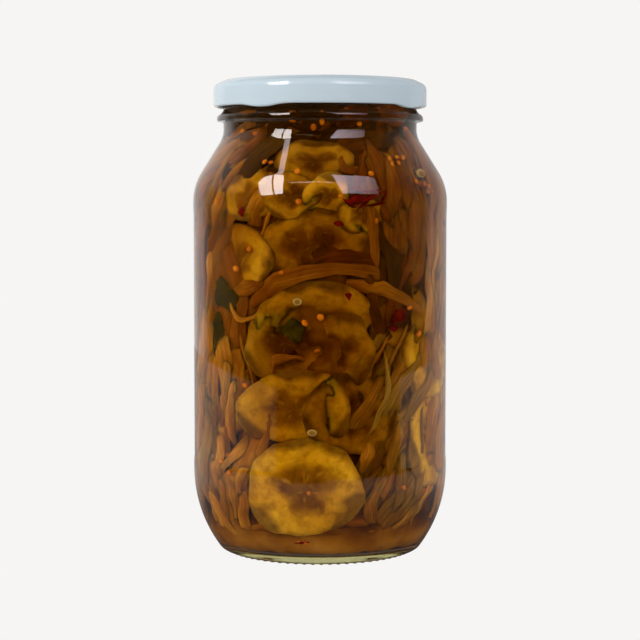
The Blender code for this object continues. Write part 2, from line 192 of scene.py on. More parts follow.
# %% [markdown]
# To draw an outline by hand, one starts from a plane, merges its corners into a single point and
# extrudes that point along the curve. Spin then sweeps the line round the axis. A Screw modifier could
# do the same and stay live, but faces have to be picked on the finished mesh. Spin can leave the faces
# inside out, so doubles are merged first and the normals are made to agree afterwards.

# %% Draw an outline and spin it
SAME_PLACE = 0.004


def edit(piece, kind):
    """Open a piece in edit mode with nothing selected, set to pick VERT, EDGE or FACE."""
    take(piece)
    bpy.ops.object.mode_set(mode="EDIT")
    bpy.ops.mesh.select_mode(type=kind)
    bpy.ops.mesh.select_all(action="DESELECT")


def pick(piece, kind, wanted):
    """Select in edit mode what passes a test.

    A point is tested by its place, an edge by its two ends and a face by its middle and normal.
    """
    edit(piece, kind)
    bpy.ops.object.mode_set(mode="OBJECT")
    mesh = piece.data
    if kind == "VERT":
        for vertex in mesh.vertices:
            vertex.select = not vertex.hide and wanted(vertex.co)
    elif kind == "EDGE":
        for edge in mesh.edges:
            edge.select = wanted(*(mesh.vertices[i].co for i in edge.vertices))
    else:
        for face in mesh.polygons:
            face.select = wanted(face.center, face.normal)
    bpy.ops.object.mode_set(mode="EDIT")


def spun(name, outline, steps):
    """A round piece from a half outline in millimetres, drawn point by point and spun about Z."""
    piece = new_piece(name, bpy.ops.mesh.primitive_plane_add, size=0.01)
    edit(piece, "VERT")
    bpy.ops.mesh.select_all(action="SELECT")
    bpy.ops.mesh.merge(type="CENTER")
    bpy.ops.transform.translate(value=(mm(outline[0][0]), 0, mm(outline[0][1])))
    for (r, z), (next_r, next_z) in zip(outline, outline[1:]):
        move = (mm(next_r - r), 0, mm(next_z - z))
        bpy.ops.mesh.extrude_region_move(TRANSFORM_OT_translate={"value": move})
    bpy.ops.mesh.select_all(action="SELECT")
    bpy.ops.mesh.spin(steps=steps, angle=2 * math.pi, center=(0, 0, 0), axis=(0, 0, 1))
    bpy.ops.mesh.select_all(action="SELECT")
    bpy.ops.mesh.remove_doubles(threshold=mm(SAME_PLACE))
    bpy.ops.mesh.normals_make_consistent(inside=False)
    bpy.ops.object.mode_set(mode="OBJECT")
    return piece

# %% [markdown]
# The glass jar itself. The outline runs from the middle of the inside floor up the inner wall, over
# the fire-polished rim, down past the bead under the lid and the panel, and in under the push-up.
# A closed loop like this gives the wall its real thickness, which is what bends the light at the
# edges and shows as the pale band at the base. Solidify on the outer wall would be quicker, but a
# blown wall isn't even: its floor is thicker, and its heel has an inner curve of its own.

# %% The jar's outline
JAR_STEPS = 216
KNURL_DROP = 0.35


def outside_wall():
    """The outer wall from the thread finish down to the middle of the push-up."""
    finish = [(FINISH_RADIUS, JAR_HEIGHT - RIM_ROUND)]
    bead = [
        (FINISH_RADIUS - 0.6, BEAD_TOP + 0.4),
        (FINISH_RADIUS - 0.5, BEAD_TOP),
        (FINISH_RADIUS - 0.2, BEAD_TOP - 0.5),
        (FINISH_RADIUS + 0.55, BEAD_TOP - 1.25),
        (BEAD_RADIUS - 0.6, BEAD_EDGE + 0.27),
        (BEAD_RADIUS - 0.35, BEAD_EDGE),
        (BEAD_RADIUS - 0.2, BEAD_EDGE - 0.25),
        (BEAD_RADIUS - 0.1, BEAD_EDGE - 0.5),
        (BEAD_RADIUS - 0.05, BEAD_EDGE - 0.9),
        (BEAD_RADIUS, BEAD_TIP),
        (BEAD_RADIUS - 0.05, BEAD_TIP - 0.35),
        (BEAD_RADIUS - 0.3, BEAD_TIP - 0.6),
        (BEAD_RADIUS - 0.85, BEAD_FOOT),
        (NECK_RADIUS + 0.7, BEAD_FOOT - 0.05),
        (NECK_RADIUS + 0.25, BEAD_FOOT - 0.25),
        (NECK_RADIUS + 0.05, BEAD_FOOT - 0.7),
        (NECK_RADIUS, BEAD_FOOT - 1.2),
    ]
    panel = [
        (SHOULDER_RADIUS, PANEL_TOP + PANEL_STEP),
        (SHOULDER_RADIUS - 0.03, PANEL_TOP + 0.7 * PANEL_STEP),
        (PANEL_RADIUS + 0.02, PANEL_TOP + 0.3 * PANEL_STEP),
        (PANEL_RADIUS, PANEL_TOP),
        (PANEL_RADIUS, PANEL_FOOT),
        (PANEL_RADIUS + 0.05, PANEL_FOOT - 0.3 * PANEL_STEP),
        (HEEL_RADIUS - 0.05, PANEL_FOOT - 0.7 * PANEL_STEP),
        (HEEL_RADIUS, PANEL_FOOT - PANEL_STEP),
    ]
    base = heel(HEEL_RADIUS, HEEL_ROUND, FOOT_ROUND, KNURL_DROP)
    ring = base[-1][0] - FOOT_WIDTH
    push_up = [
        (ring, KNURL_DROP),
        (ring - 0.7, 0.35 * PUSH_UP),
        (ring - 1.7, 0.65 * PUSH_UP),
        (ring - 3.2, 0.88 * PUSH_UP),
        (ring - 6.0, PUSH_UP),
        (0.0, PUSH_UP),
    ]
    return finish + bead + shoulder(0.0) + panel + base + push_up


mouth = NECK_RADIUS - WALL
rim = arc(mouth + RIM_ROUND, JAR_HEIGHT - RIM_ROUND, RIM_ROUND, 180, 90, 5)
rim += arc(FINISH_RADIUS - RIM_ROUND, JAR_HEIGHT - RIM_ROUND, RIM_ROUND, 90, 0, 5)
jar_outline = [(0.0, FLOOR)] + inside[::-1] + rim + outside_wall()[1:]
jar = spun("jar_glass", jar_outline, JAR_STEPS)
print("jar:", len(jar_outline), "outline points,", triangles(jar), "triangles")

# %% [markdown]
# The ring that the jar stands on is knurled: short bars across it keep the hot jar from cracking on
# the belt. Every third face of the ring is picked by its place and extruded down to the table, which
# gives 72 bars. They show in the photograph as a row of dark dashes under the base. A bump map could
# draw them, but they stand at the very edge of the outline, where only real form shows.

# %% Knurl the foot ring
KNURL_EVERY = 3
foot_outer = heel(HEEL_RADIUS, HEEL_ROUND, FOOT_ROUND, KNURL_DROP)[-1][0]
foot_inner = foot_outer - FOOT_WIDTH


def on_knurl(middle, normal):
    """True on every third face of the foot ring."""
    radius = math.hypot(middle.x, middle.y) * 1000
    step = int((angle_of(middle) + 360) % 360 * JAR_STEPS / 360)
    return normal.z < -0.9 and foot_inner < radius < foot_outer and step % KNURL_EVERY == 0


pick(jar, "FACE", on_knurl)
bpy.ops.mesh.extrude_region_move(TRANSFORM_OT_translate={"value": (0, 0, -mm(KNURL_DROP))})
bpy.ops.object.mode_set(mode="OBJECT")
print("lowest point of the glass:", round(min(v.co.z for v in jar.data.vertices) * 1000, 3), "mm")

# %% [markdown]
# Thread ridges, slices, strips and seeds each repeat one shape. The shape is modelled once, and every
# copy gets its own mesh, whose points are moved to where that copy lies. A long shape is cut across
# first, so that it has points to bend by. An Array modifier repeats things too, but in even steps, and
# food doesn't lie evenly. Copies of food end up joined, as one piece for each kind.

# %% Cut, copy and join
def cut_across(cuts):
    """Cut the bar that is being edited, one unit long along X, at even places, and leave edit mode."""
    for cut in range(1, cuts + 1):
        bpy.ops.mesh.select_all(action="SELECT")
        bpy.ops.mesh.bisect(plane_co=(cut / (cuts + 1) - 0.5, 0, 0), plane_no=(1, 0, 0))
    bpy.ops.object.mode_set(mode="OBJECT")


def copy_of(piece, name, move):
    """A copy with its own mesh, each point moved by a function of its place."""
    made = piece.copy()
    made.data = piece.data.copy()
    made.name = name
    bpy.context.scene.collection.objects.link(made)
    for vertex in made.data.vertices:
        vertex.co = move(vertex.co.copy())
    return made


def join(pieces, name):
    """Join pieces into the first one and name it."""
    bpy.ops.object.select_all(action="DESELECT")
    for piece in pieces:
        piece.select_set(True)
    bpy.context.view_layer.objects.active = pieces[0]
    bpy.ops.object.join()
    pieces[0].name = pieces[0].data.name = name
    return pieces[0]


# %% [markdown]
# Under the lid the finish has four short thread ridges that the lid's lugs turn under. One bar is
# modelled from a cube, bevelled and cut across, and each copy is laid along a sloping line round
# the finish. They are hidden by the lid, yet a real jar has them.

# %% Thread ridges
RIDGES, RIDGE_REACH, RIDGE_HEIGHT, RIDGE_ROOT = 4, 1.3, 1.6, -0.4
RIDGE_START, RIDGE_DROP, RIDGE_SPAN, RIDGE_CUTS, RIDGE_BEVEL = 179.4, 1.4, 36.0, 15, 0.2
LUG_ANGLE = -32.0
ridge = new_piece("ridge", bpy.ops.mesh.primitive_cube_add, size=1.0)
pick(ridge, "EDGE", lambda a, b: abs(a.x - b.x) > 0.5)
bpy.ops.mesh.bevel(offset=RIDGE_BEVEL, segments=2, affect="EDGES")
cut_across(RIDGE_CUTS)


def ridge_copy(index):
    """One ridge, laid along its sloping line on the finish."""
    start = LUG_ANGLE - 0.5 * RIDGE_SPAN + index * 360 / RIDGES

    def laid(unit):
        """Where a point of the straight bar goes: the ridge is low at its ends and narrow outside."""
        along = unit.x + 0.5
        swell = math.sin(math.pi * min(1.0, max(0.12, 0.9 * along + 0.05)))
        outer = unit.z > 0
        radius = FINISH_RADIUS + (RIDGE_REACH * swell * 2 * unit.z if outer else RIDGE_ROOT)
        width = RIDGE_HEIGHT * (0.6 if outer else 1.0)
        height = RIDGE_START - RIDGE_DROP * along + width * unit.y
        return on_circle(start + RIDGE_SPAN * along, mm(radius), mm(height))

    return copy_of(ridge, f"ridge_{index}", laid)


ridges = [ridge_copy(i) for i in range(RIDGES)]
bpy.data.objects.remove(ridge)
print("thread ridges:", len(ridges))

# %% [markdown]
# The lid is pressed from one sheet of tinplate: a panel sunk inside a raised ring, a rounded edge, a
# straight skirt and a curl at the foot that hides the raw edge. Insets on a cylinder would give a cap
# too. Spinning an outline, as for the jar, gives each radius of the pressing its real size.

# %% The lid
LID_STEPS = 160
LID_RADIUS, LID_TOP, LID_FOOT, LID_SHEET, CURL_ROUND = 41.9, HIGHEST, 174.5, 0.5, 0.9
LID_ROUND, LID_EDGE, LID_SLOPE = 3.0, 181.1, 66.0
RECESS_RADIUS, RECESS_DEPTH, RECESS_SLOPE = 33.6, 1.5, 1.0


def lid_outline():
    """Over the top from the middle, down the skirt, round the curl and back up inside."""
    floor = LID_TOP - RECESS_DEPTH
    inner = LID_RADIUS - LID_SHEET
    recess = [
        (0.0, floor),
        (RECESS_RADIUS - RECESS_SLOPE - 0.8, floor),
        (RECESS_RADIUS - RECESS_SLOPE, floor + 0.08),
        (RECESS_RADIUS - 0.55 * RECESS_SLOPE, floor + 0.35),
        (RECESS_RADIUS - 0.1 * RECESS_SLOPE, LID_TOP - 0.4),
        (RECESS_RADIUS + 0.3 * RECESS_SLOPE, LID_TOP - 0.1),
        (RECESS_RADIUS + 0.9 * RECESS_SLOPE, LID_TOP),
    ]
    slope = [(RECESS_RADIUS + 2.8, LID_TOP - 0.04), (RECESS_RADIUS + 3.9, LID_TOP - 0.2)]
    edge = slope + arc(LID_RADIUS - LID_ROUND, LID_EDGE, LID_ROUND, LID_SLOPE, 0, 10)
    curl = arc(LID_RADIUS - CURL_ROUND, LID_FOOT + CURL_ROUND, CURL_ROUND, 0, -180, 10)
    inside_lid = [
        (inner - 2 * CURL_ROUND + LID_SHEET, LID_FOOT + 2 * CURL_ROUND),
        (inner, LID_FOOT + 2.6 * CURL_ROUND),
        (inner, LID_EDGE),
        (inner - 0.75, LID_EDGE + 1.4),
        (inner - 2.9, JAR_HEIGHT + 0.15),
        (inner - 3.6, JAR_HEIGHT + 0.3),
        (RECESS_RADIUS + 0.6 * RECESS_SLOPE, JAR_HEIGHT + 0.3),
        (RECESS_RADIUS - RECESS_SLOPE, floor - LID_SHEET),
        (0.0, floor - LID_SHEET),
    ]
    return recess + edge + curl + inside_lid


lid = spun("lid_tinplate", lid_outline(), LID_STEPS)
print("lid:", triangles(lid), "triangles")

# %% [markdown]
# The four lugs are pressed into the curl, towards the glass and down. Pressing draws the sheet beside
# a lug along with it, and proportional editing does just that. The upper part of the lid is hidden
# first, so that only the foot of the skirt follows, and then the outer face too, because the lugs are
# pressed in behind it.

# %% Press the lugs
LUGS, LUG_DROP, LUG_REACH, LUG_TOP = 4, 1.1, 1.25, 176.6
LUG_GRIP, LUG_SPREAD = 2.5, 10.5
pick(lid, "VERT", lambda point: point.z > mm(LUG_TOP))
bpy.ops.mesh.hide(unselected=False)


def press_lugs(inward, down):
    """Move the curl at each lug, and what is near it, towards the axis and down."""
    for index in range(LUGS):
        middle = LUG_ANGLE + index * 360 / LUGS

        def on_lug(point, middle=middle):
            """True on the curl at the middle of this lug."""
            return abs((angle_of(point) - middle + 180) % 360 - 180) < LUG_GRIP

        pick(lid, "VERT", on_lug)
        bpy.ops.transform.translate(
            value=on_circle(middle, -mm(inward), -mm(down)),
            use_proportional_edit=True,
            proportional_edit_falloff="SMOOTH",
            proportional_size=mm(LUG_SPREAD),
        )


press_lugs(0.0, LUG_DROP)
pick(lid, "VERT", lambda point: point.xy.length > mm(LID_RADIUS - CURL_ROUND))
bpy.ops.mesh.hide(unselected=False)
press_lugs(LUG_REACH, 0.0)
bpy.ops.mesh.reveal(select=False)
bpy.ops.object.mode_set(mode="OBJECT")
foot = min(v.co.z for v in lid.data.vertices) * 1000
print("lugs:", LUGS, "down to", round(foot, 2), "mm")

# %% [markdown]
# The brine fills the jar to just under the lid. A copy of the glass's inner faces could serve, but a
# gap of air or a shared face between glass and liquid shows as a mirror or as noise. So the brine is
# spun from the inner wall's outline, pushed 0.3 mm into the glass. The level curls up a little at
# the wall, as water does.

# %% The brine
BRINE_LEVEL, BRINE_REACH, MENISCUS, BRINE_STEPS = 178.0, 0.3, 0.7, 144


def brine_outline():
    """From the middle of the floor up the wall and across the level."""
    wall = inner_wall(BRINE_REACH)[::-1]
    edge = mouth + BRINE_REACH
    top = [
        (edge, BRINE_LEVEL + MENISCUS),
        (edge - 0.6, BRINE_LEVEL + 0.35 * MENISCUS),
        (edge - 1.5, BRINE_LEVEL + 0.1 * MENISCUS),
        (edge - 3.0, BRINE_LEVEL),
        (0.0, BRINE_LEVEL),
    ]
    return [(0.0, FLOOR - BRINE_REACH)] + wall + top


brine = spun("brine", brine_outline(), BRINE_STEPS)
print("brine:", triangles(brine), "triangles")

# %% [markdown]
# Whatever goes into the jar is kept off the glass by a film of brine. A Displace modifier stops things
# from looking machine made, in two ways: it makes a surface lumpy, or it pushes whole pieces about by
# slow swirls. The swirls are the same for every kind, so neighbours move together and stay in order.
# Sculpt Mode could do this by hand, but the modifier does it alike on every run.

# %% Keep things in the jar and make them uneven
CLEAR, HEAP_TOP = 0.6, 175.0
SWIRL_SIZE, SWIRL_PUSH = 14.0, 5.0


def into_jar(point):
    """The nearest place, in metres, that is inside the glass by the film of brine."""
    height = min(max(point.z, FLOOR + CLEAR), HEAP_TOP)
    limit = wall_radius(height) - CLEAR
    radius = math.hypot(point.x, point.y)
    scale = min(1.0, limit / radius) if radius > 0 else 1.0
    return Vector((point.x * scale, point.y * scale, height)) * 0.001


def displace(piece, size, strength, cloud_type, direction):
    """Move a piece's points by clouds of a size in millimetres."""
    clouds = bpy.data.textures.new("clouds", "CLOUDS")
    clouds.noise_scale = mm(size)
    clouds.cloud_type = cloud_type
    moved = piece.modifiers.new("clouds", "DISPLACE")
    moved.texture = clouds
    moved.texture_coords = "LOCAL"
    moved.direction = direction
    moved.strength = mm(strength)
    take(piece)
    bpy.ops.object.modifier_apply(modifier=moved.name)


def soften(piece, size, strength):
    """Make a piece lumpy, so that nothing on it is quite flat."""
    displace(piece, size, strength, "GRAYSCALE", "NORMAL")


def settle(piece):
    """Push a piece about by the swirls that all pieces share, and keep it in the jar."""
    displace(piece, SWIRL_SIZE, SWIRL_PUSH, "COLOR", "RGB_TO_XYZ")
    for vertex in piece.data.vertices:
        vertex.co = into_jar(vertex.co * 1000)


print("the packing is kept", CLEAR, "mm off the glass and under", HEAP_TOP, "mm")

# %% [markdown]
# Behind the pieces that touch the glass the jar goes on being full, but nobody sees it. A core stands
# for that. It is spun a few millimetres inside the wall and comes nearer to it at the floor, where
# spice has settled, and in the neck, which is packed tight. Large and small clouds make it lumpy, so
# what shows in the gaps isn't a smooth drum. More slices could fill the middle, but they would cost
# more than a hundred thousand triangles that nobody sees.

# %% The core behind the pieces
CORE_DEPTH, CORE_FOOT, CORE_TOP = 5.8, FLOOR + 0.3, 176.0
SILT_DEPTH, SILT_TOP, SILT_RISE = 0.7, CORE_FOOT + 2, 15.0
NECK_DEPTH, NECK_START, NECK_RISE = 3.8, 150.0, 20.0
CORE_ROWS, CORE_SIDES = 84, 144
CORE_LUMPS = [(9.0, 5.0), (3.5, 0.7)]


def blend(share):
    """A soft step from 0 to 1."""
    share = min(1.0, max(0.0, share))
    return share * share * (3 - 2 * share)


def core_depth(height):
    """How far behind the glass the core lies at a height."""
    low = SILT_DEPTH + (CORE_DEPTH - SILT_DEPTH) * blend((height - SILT_TOP) / SILT_RISE)
    return low + (NECK_DEPTH - CORE_DEPTH) * blend((height - NECK_START) / NECK_RISE)


core_heights = [CORE_FOOT + (CORE_TOP - CORE_FOOT) * i / CORE_ROWS for i in range(CORE_ROWS + 1)]
core_wall = [(wall_radius(z) - core_depth(z), z) for z in core_heights]
core = spun("pickle_core", [(0.0, CORE_FOOT)] + core_wall + [(0.0, CORE_TOP)], CORE_SIDES)
for size, strength in CORE_LUMPS:
    soften(core, size, strength)
for vertex in core.data.vertices:
    height = min(CORE_TOP, max(CORE_FOOT, vertex.co.z * 1000))
    limit = mm(wall_radius(height) - SILT_DEPTH)
    scale = min(1.0, limit / max(limit * 0.01, vertex.co.xy.length))
    vertex.co = (vertex.co.x * scale, vertex.co.y * scale, mm(height))
settle(core)
print("core:", triangles(core), "triangles")

# %% [markdown]
# A cucumber slice is a disc about 40 mm wide and 5 mm thick. A flat card with a slice drawn on it
# wouldn't do, because the thick edge of a slice shows where it lies on another. It starts as a
# cylinder. Insets draw rings on both faces, Shrink/Fatten sinks the wet seed part a little, and a
# bevel softens the rim where the skin is. The slice carries its own UV map, laid flat on its face, so
# that a colour drawn by distance from the middle stays with it wherever the slice goes.

# %% Model one cucumber slice
SLICE_SIDES = 40
SLICE_RINGS = [(0.14, 0.03), (0.18, 0.0), (0.14, -0.07), (0.22, -0.03), (0.18, 0.0)]


def add_flat_uv(piece, name):
    """A UV map that looks straight down on the piece, the middle at 0.5, 0.5."""
    layer = piece.data.uv_layers.new(name=name)
    for loop in piece.data.loops:
        place = piece.data.vertices[loop.vertex_index].co
        layer.data[loop.index].uv = (0.5 + 0.5 * place.x, 0.5 + 0.5 * place.y)


slice_flat = new_piece(
    "slice_flat", bpy.ops.mesh.primitive_cylinder_add, vertices=SLICE_SIDES, radius=1.0, depth=1.0
)
slice_flat.data.uv_layers.remove(slice_flat.data.uv_layers[0])
pick(slice_flat, "FACE", lambda middle, normal: abs(normal.z) > 0.9)
for width, rise in SLICE_RINGS:
    bpy.ops.mesh.inset(thickness=width)
    bpy.ops.transform.shrink_fatten(value=rise)
bpy.ops.mesh.poke()


def on_rim(a, b):
    """True on the two round edges of the disc."""
    return min(a.xy.length, b.xy.length) > 0.99 and abs(a.z - b.z) < 0.01


pick(slice_flat, "EDGE", on_rim)
bpy.ops.mesh.bevel(offset=0.1, segments=3, affect="EDGES")
bpy.ops.object.mode_set(mode="OBJECT")
add_flat_uv(slice_flat, "slice_face")
print("one slice:", triangles(slice_flat), "triangles")

# %% [markdown]
# Inside the jar the slices lie against the glass and bend a little to it. The wall curves both ways,
# so no single Bend modifier follows it. Instead each point of a flat slice is moved: part of the way
# to a disc standing upright, part of the way to the curve of the wall, and never nearer the glass
# than the film of brine between them. A `tint` attribute makes every slice its own colour.

# %% Lay pieces against the wall
SLICE_BEND = 0.6
SLICE_THICK, SLICE_LOBES, SLICE_CURL = (4.4, 5.4), (0.02, 0.1), (0.2, 0.9)


def add_tint(piece, value):
    """One number on every point of a piece, for its material to read."""
    layer = piece.data.attributes.new("tint", "FLOAT", "POINT")
    layer.data.foreach_set("value", [value] * len(piece.data.vertices))


def slice_copy(index, place):
    """A slice laid against the wall.

    Its place is its angle, height, width, height of the oval, roll, lean, swing, depth and tint.
    Lean sets its top deeper and swing its right side deeper, in mm for each mm.
    """
    angle, height, width, tall, roll, lean, swing, depth, tint = place
    thick = draw.uniform(*SLICE_THICK)
    lobes = draw.uniform(*SLICE_LOBES)
    curl, curl_turn = draw.uniform(*SLICE_CURL), draw.uniform(0, 2 * math.pi)
    roll = math.radians(roll)
    centre = wall_radius(height)
    # a flat disc in a round jar touches the wall only at its sides, so its middle lies deeper
    flat_radius = math.sqrt(max(1.0, centre**2 - (0.42 * width) ** 2))
    ahead, right = on_circle(angle, 1.0, 0.0), on_circle(angle + 90, 1.0, 0.0)

    def laid(unit):
        """Where a point of the round, flat slice goes."""
        around = math.atan2(unit.y, unit.x)
        reach = math.hypot(unit.x, unit.y)
        wave = curl * reach**2 * math.sin(2 * around + curl_turn)
        # the outline has three blunt corners, the lower ones clearer, and a fine wrinkle
        dent = lobes * math.sin(3 * around) * (0.65 - 0.35 * math.sin(around))
        reach *= 1 - dent + 0.012 * math.sin(7 * around + curl_turn)
        across = 0.5 * width * reach * math.cos(around + roll)
        up = 0.5 * tall * reach * math.sin(around + roll)
        tilt = lean * up + swing * across + 0.5 * (abs(lean) * tall + abs(swing) * width)
        inward = CLEAR + depth + thick * (0.5 - unit.z) + tilt + max(0.0, wave)
        bent = on_circle(angle + math.degrees(across / centre),
                         wall_radius(height + up) - inward, height + up)
        flat = ahead * (flat_radius - inward) + right * across + Vector((0, 0, height + up))
        return into_jar(flat.lerp(bent, SLICE_BEND))

    made = copy_of(slice_flat, f"slice_{index}", laid)
    add_tint(made, tint)
    return made


print("a slice is", SLICE_THICK, "mm thick and bends", SLICE_BEND, "of the way to the wall")

# %% [markdown]
# The slices that show at the front are set out from the photograph. A physics simulation could pack
# the jar, but it wouldn't put them where the photograph has them. A tint of 0 is olive and brown and
# 1 is bright yellow. A tilted slice is bright where it touches the glass and browner where it goes
# deep.

# %% Slices at the front
# Each slice: angle, height, width, height of the oval, roll, lean, swing, depth and tint
FRONT_SLICES = [
    (-7.5, 30.5, 46.0, 38.0, 6.0, -0.02, 0.0, 0.3, 0.9),
    (-13.0, 60.5, 46.0, 29.0, -6.0, -0.03, 0.05, 0.2, 0.65),
    (15.0, 58.0, 36.0, 32.0, 14.0, 0.04, 0.0, 1.8, 0.3),
    (-18.0, 85.0, 32.0, 31.0, 12.0, 0.0, 0.16, 0.9, 0.4),
    (8.5, 82.5, 29.0, 29.0, -14.0, -0.05, -0.16, 1.0, 0.4),
    (-2.0, 91.5, 52.0, 32.0, 0.0, -0.14, 0.04, 0.2, 0.6),
    (-3.0, 121.5, 43.0, 28.0, 8.0, -0.1, 0.05, 0.3, 0.5),
    (-42.0, 117.0, 31.0, 26.0, 20.0, 0.0, -0.12, 0.5, 0.5),
    (-13.6, 140.5, 22.0, 16.0, 30.0, 0.10, 0.05, 0.8, 0.4),
    (3.5, 140.0, 19.0, 18.0, -10.0, -0.15, 0.1, 0.2, 0.8),
    (21.0, 132.5, 19.0, 14.0, 20.0, -0.1, 0.1, 0.8, 0.6),
    (-3.0, 153.0, 30.0, 15.0, 0.0, 0.08, 0.0, 0.5, 0.3),
    (-36.0, 140.0, 22.0, 18.0, 40.0, 0.05, 0.1, 1.0, 0.7),
    (43.0, 96.0, 26.0, 28.0, -20.0, 0.05, -0.1, 1.6, 0.35),
    (64.0, 46.0, 32.0, 36.0, 0.0, 0.0, 0.08, 0.4, 0.85),
    (66.0, 78.0, 38.0, 34.0, 15.0, 0.06, 0.0, 0.5, 0.8),
    (36.0, 70.0, 30.0, 28.0, 15.0, 0.06, 0.0, 3.6, 0.5),
    (-56.0, 64.0, 34.0, 34.0, 15.0, 0.06, 0.0, 2.0, 0.8),
]
print("slices placed by hand:", len(FRONT_SLICES))

# %% [markdown]
# Round the sides and the back the jar is packed by rule, in four rows of uneven height. A second
# layer fills the gaps: its slices go round by the golden angle, which never lines two of them up.

# %% Slices at the sides and behind
SIDE_SLICE_HEIGHTS = [28.0, 60.0, 93.0, 124.0]
SIDE_SLICE_ANGLES = [105.0, 155.0, 205.0, 252.0]
ROW_STEP, DEEP_SLICES, DEEP_FOOT, DEEP_RISE = 7, 34, 24, 134
GOLDEN_ANGLE, GOLDEN_SHARE = 137.5, 0.618


def side_slices():
    """Slices for the sides and the back, in rows of uneven height."""
    for row, angle in enumerate(SIDE_SLICE_ANGLES):
        for height in SIDE_SLICE_HEIGHTS:
            width = draw.uniform(34, 44)
            turned = angle + draw.uniform(-9, 9)
            raised = height + draw.uniform(-5, 5) + ROW_STEP * (row % 2)
            tall, roll = width * draw.uniform(0.84, 1.0), draw.uniform(-30, 30)
            lean, swing = draw.uniform(-0.1, 0.1), draw.uniform(-0.12, 0.12)
            depth, tint = draw.uniform(0.2, 1.2), draw.uniform(0.4, 0.9)
            yield turned, raised, width, tall, roll, lean, swing, depth, tint


def deep_slices():
    """Slices behind the first layer, spread by the golden angle."""
    for index in range(DEEP_SLICES):
        angle, height = GOLDEN_ANGLE * index % 360, DEEP_FOOT + DEEP_RISE * (index + 0.5) / DEEP_SLICES
        width = draw.uniform(32, 42)
        tall, roll = width * draw.uniform(0.8, 1.0), draw.uniform(-40, 40)
        lean, swing = draw.uniform(-0.12, 0.12), draw.uniform(-0.1, 0.1)
        depth, tint = draw.uniform(3.4, 6.4), draw.uniform(0.1, 0.6)
        yield angle, height, width, tall, roll, lean, swing, depth, tint


print("side slices:", len(SIDE_SLICE_ANGLES) * len(SIDE_SLICE_HEIGHTS), "and deep ones:", DEEP_SLICES)

# %% [markdown]
# Now all slices are laid, joined into one piece, made a little lumpy and pushed about by the swirls.

# %% Lay the slices
SLICE_LUMPS = (5.0, 0.9)
slice_places = FRONT_SLICES + list(side_slices()) + list(deep_slices())
cucumber = join([slice_copy(i, place) for i, place in enumerate(slice_places)], "cucumber_slices")
bpy.data.objects.remove(slice_flat)
soften(cucumber, *SLICE_LUMPS)
settle(cucumber)
print("cucumber slices:", len(slice_places), "copies,", triangles(cucumber), "triangles")

# %% [markdown]
# Between the slices run strips of onion and of cucumber peel, soft from the brine. A curve with a
# bevel could draw one. A mesh is chosen because each of its points can be laid on the wall by a
# function, as with the slices. It is modelled from a cylinder laid on its side and cut across. Each
# copy follows its own line over the wall, bowed sideways, thinner at its ends and a little twisted.
# The strip's UV map runs along it, for the veins.

# %% Model one strip and lay it
STRIP_CUTS, STRIP_SIDES = 12, 12
STRIP_TWIST, STRIP_CUP, STRIP_TUCK = 0.5, (0.1, 0.7), (3.0, 6.5)
strip_flat = new_piece("strip_flat", bpy.ops.mesh.primitive_cylinder_add, vertices=STRIP_SIDES,
                       radius=0.5, depth=1.0)
bpy.ops.object.mode_set(mode="EDIT")
bpy.ops.mesh.select_all(action="SELECT")
bpy.ops.transform.rotate(value=math.radians(90), orient_axis="Y", center_override=(0, 0, 0))
cut_across(STRIP_CUTS)
strip_flat.data.uv_layers.remove(strip_flat.data.uv_layers[0])
strip_uv = strip_flat.data.uv_layers.new(name="strip_length")
for loop in strip_flat.data.loops:
    spot = strip_flat.data.vertices[loop.vertex_index].co
    strip_uv.data[loop.index].uv = (spot.x + 0.5, 0.5 + 0.6 * spot.y + 0.3 * spot.z)
print("one strip:", triangles(strip_flat), "triangles")


def strip_copy(index, place):
    """A strip from (angle, height) to (angle, height), with a bow, width, thickness, depth and tint."""
    start, start_height, end, end_height, bow, width, thick, depth, tint = place
    middle = wall_radius(0.5 * (start_height + end_height))
    run = Vector((math.radians(end - start) * middle, end_height - start_height))
    across = Vector((-run.y, run.x)).normalized()
    twist, sway = draw.uniform(-STRIP_TWIST, STRIP_TWIST), draw.uniform(0.0, 2 * math.pi)
    cup, tuck = draw.uniform(*STRIP_CUP), draw.uniform(*STRIP_TUCK)

    def laid(unit):
        """Where a point of the straight strip goes."""
        along = unit.x + 0.5
        end_on = abs(2 * along - 1)
        # blunt at both ends and a little uneven, and its line wanders by about a millimetre
        swell = (1 - 0.6 * end_on ** 8) * (1 + 0.16 * math.sin(7 * along + sway))
        wander = 0.9 * math.sin(5 * along + sway) + 0.3 * math.sin(11 * along + 2 * sway)
        side = across * (bow * math.sin(math.pi * along) + wander + width * swell * unit.y)
        place_on = run * along + side
        # it dips in and out on its way, and both ends are tucked in behind their neighbours
        dip = 0.5 * math.sin(4 * along + 1.7 * sway) + 0.5 + tuck * end_on ** 4
        inward = CLEAR + depth + thick * swell * (0.5 - unit.z) + dip
        inward += twist * (2 * along - 1) * 2 * unit.y + cup * (2 * unit.y) ** 2
        height = start_height + place_on.y
        return into_jar(on_circle(start + math.degrees(place_on.x / middle),
                                  wall_radius(height) - max(CLEAR, inward), height))

    made = copy_of(strip_flat, f"strip_{index}", laid)
    add_tint(made, tint)
    return made


# %% [markdown]
# The strips that show at the front are placed as in the photograph. The tint runs from dark and rusty
# at 0 to straw at 1.

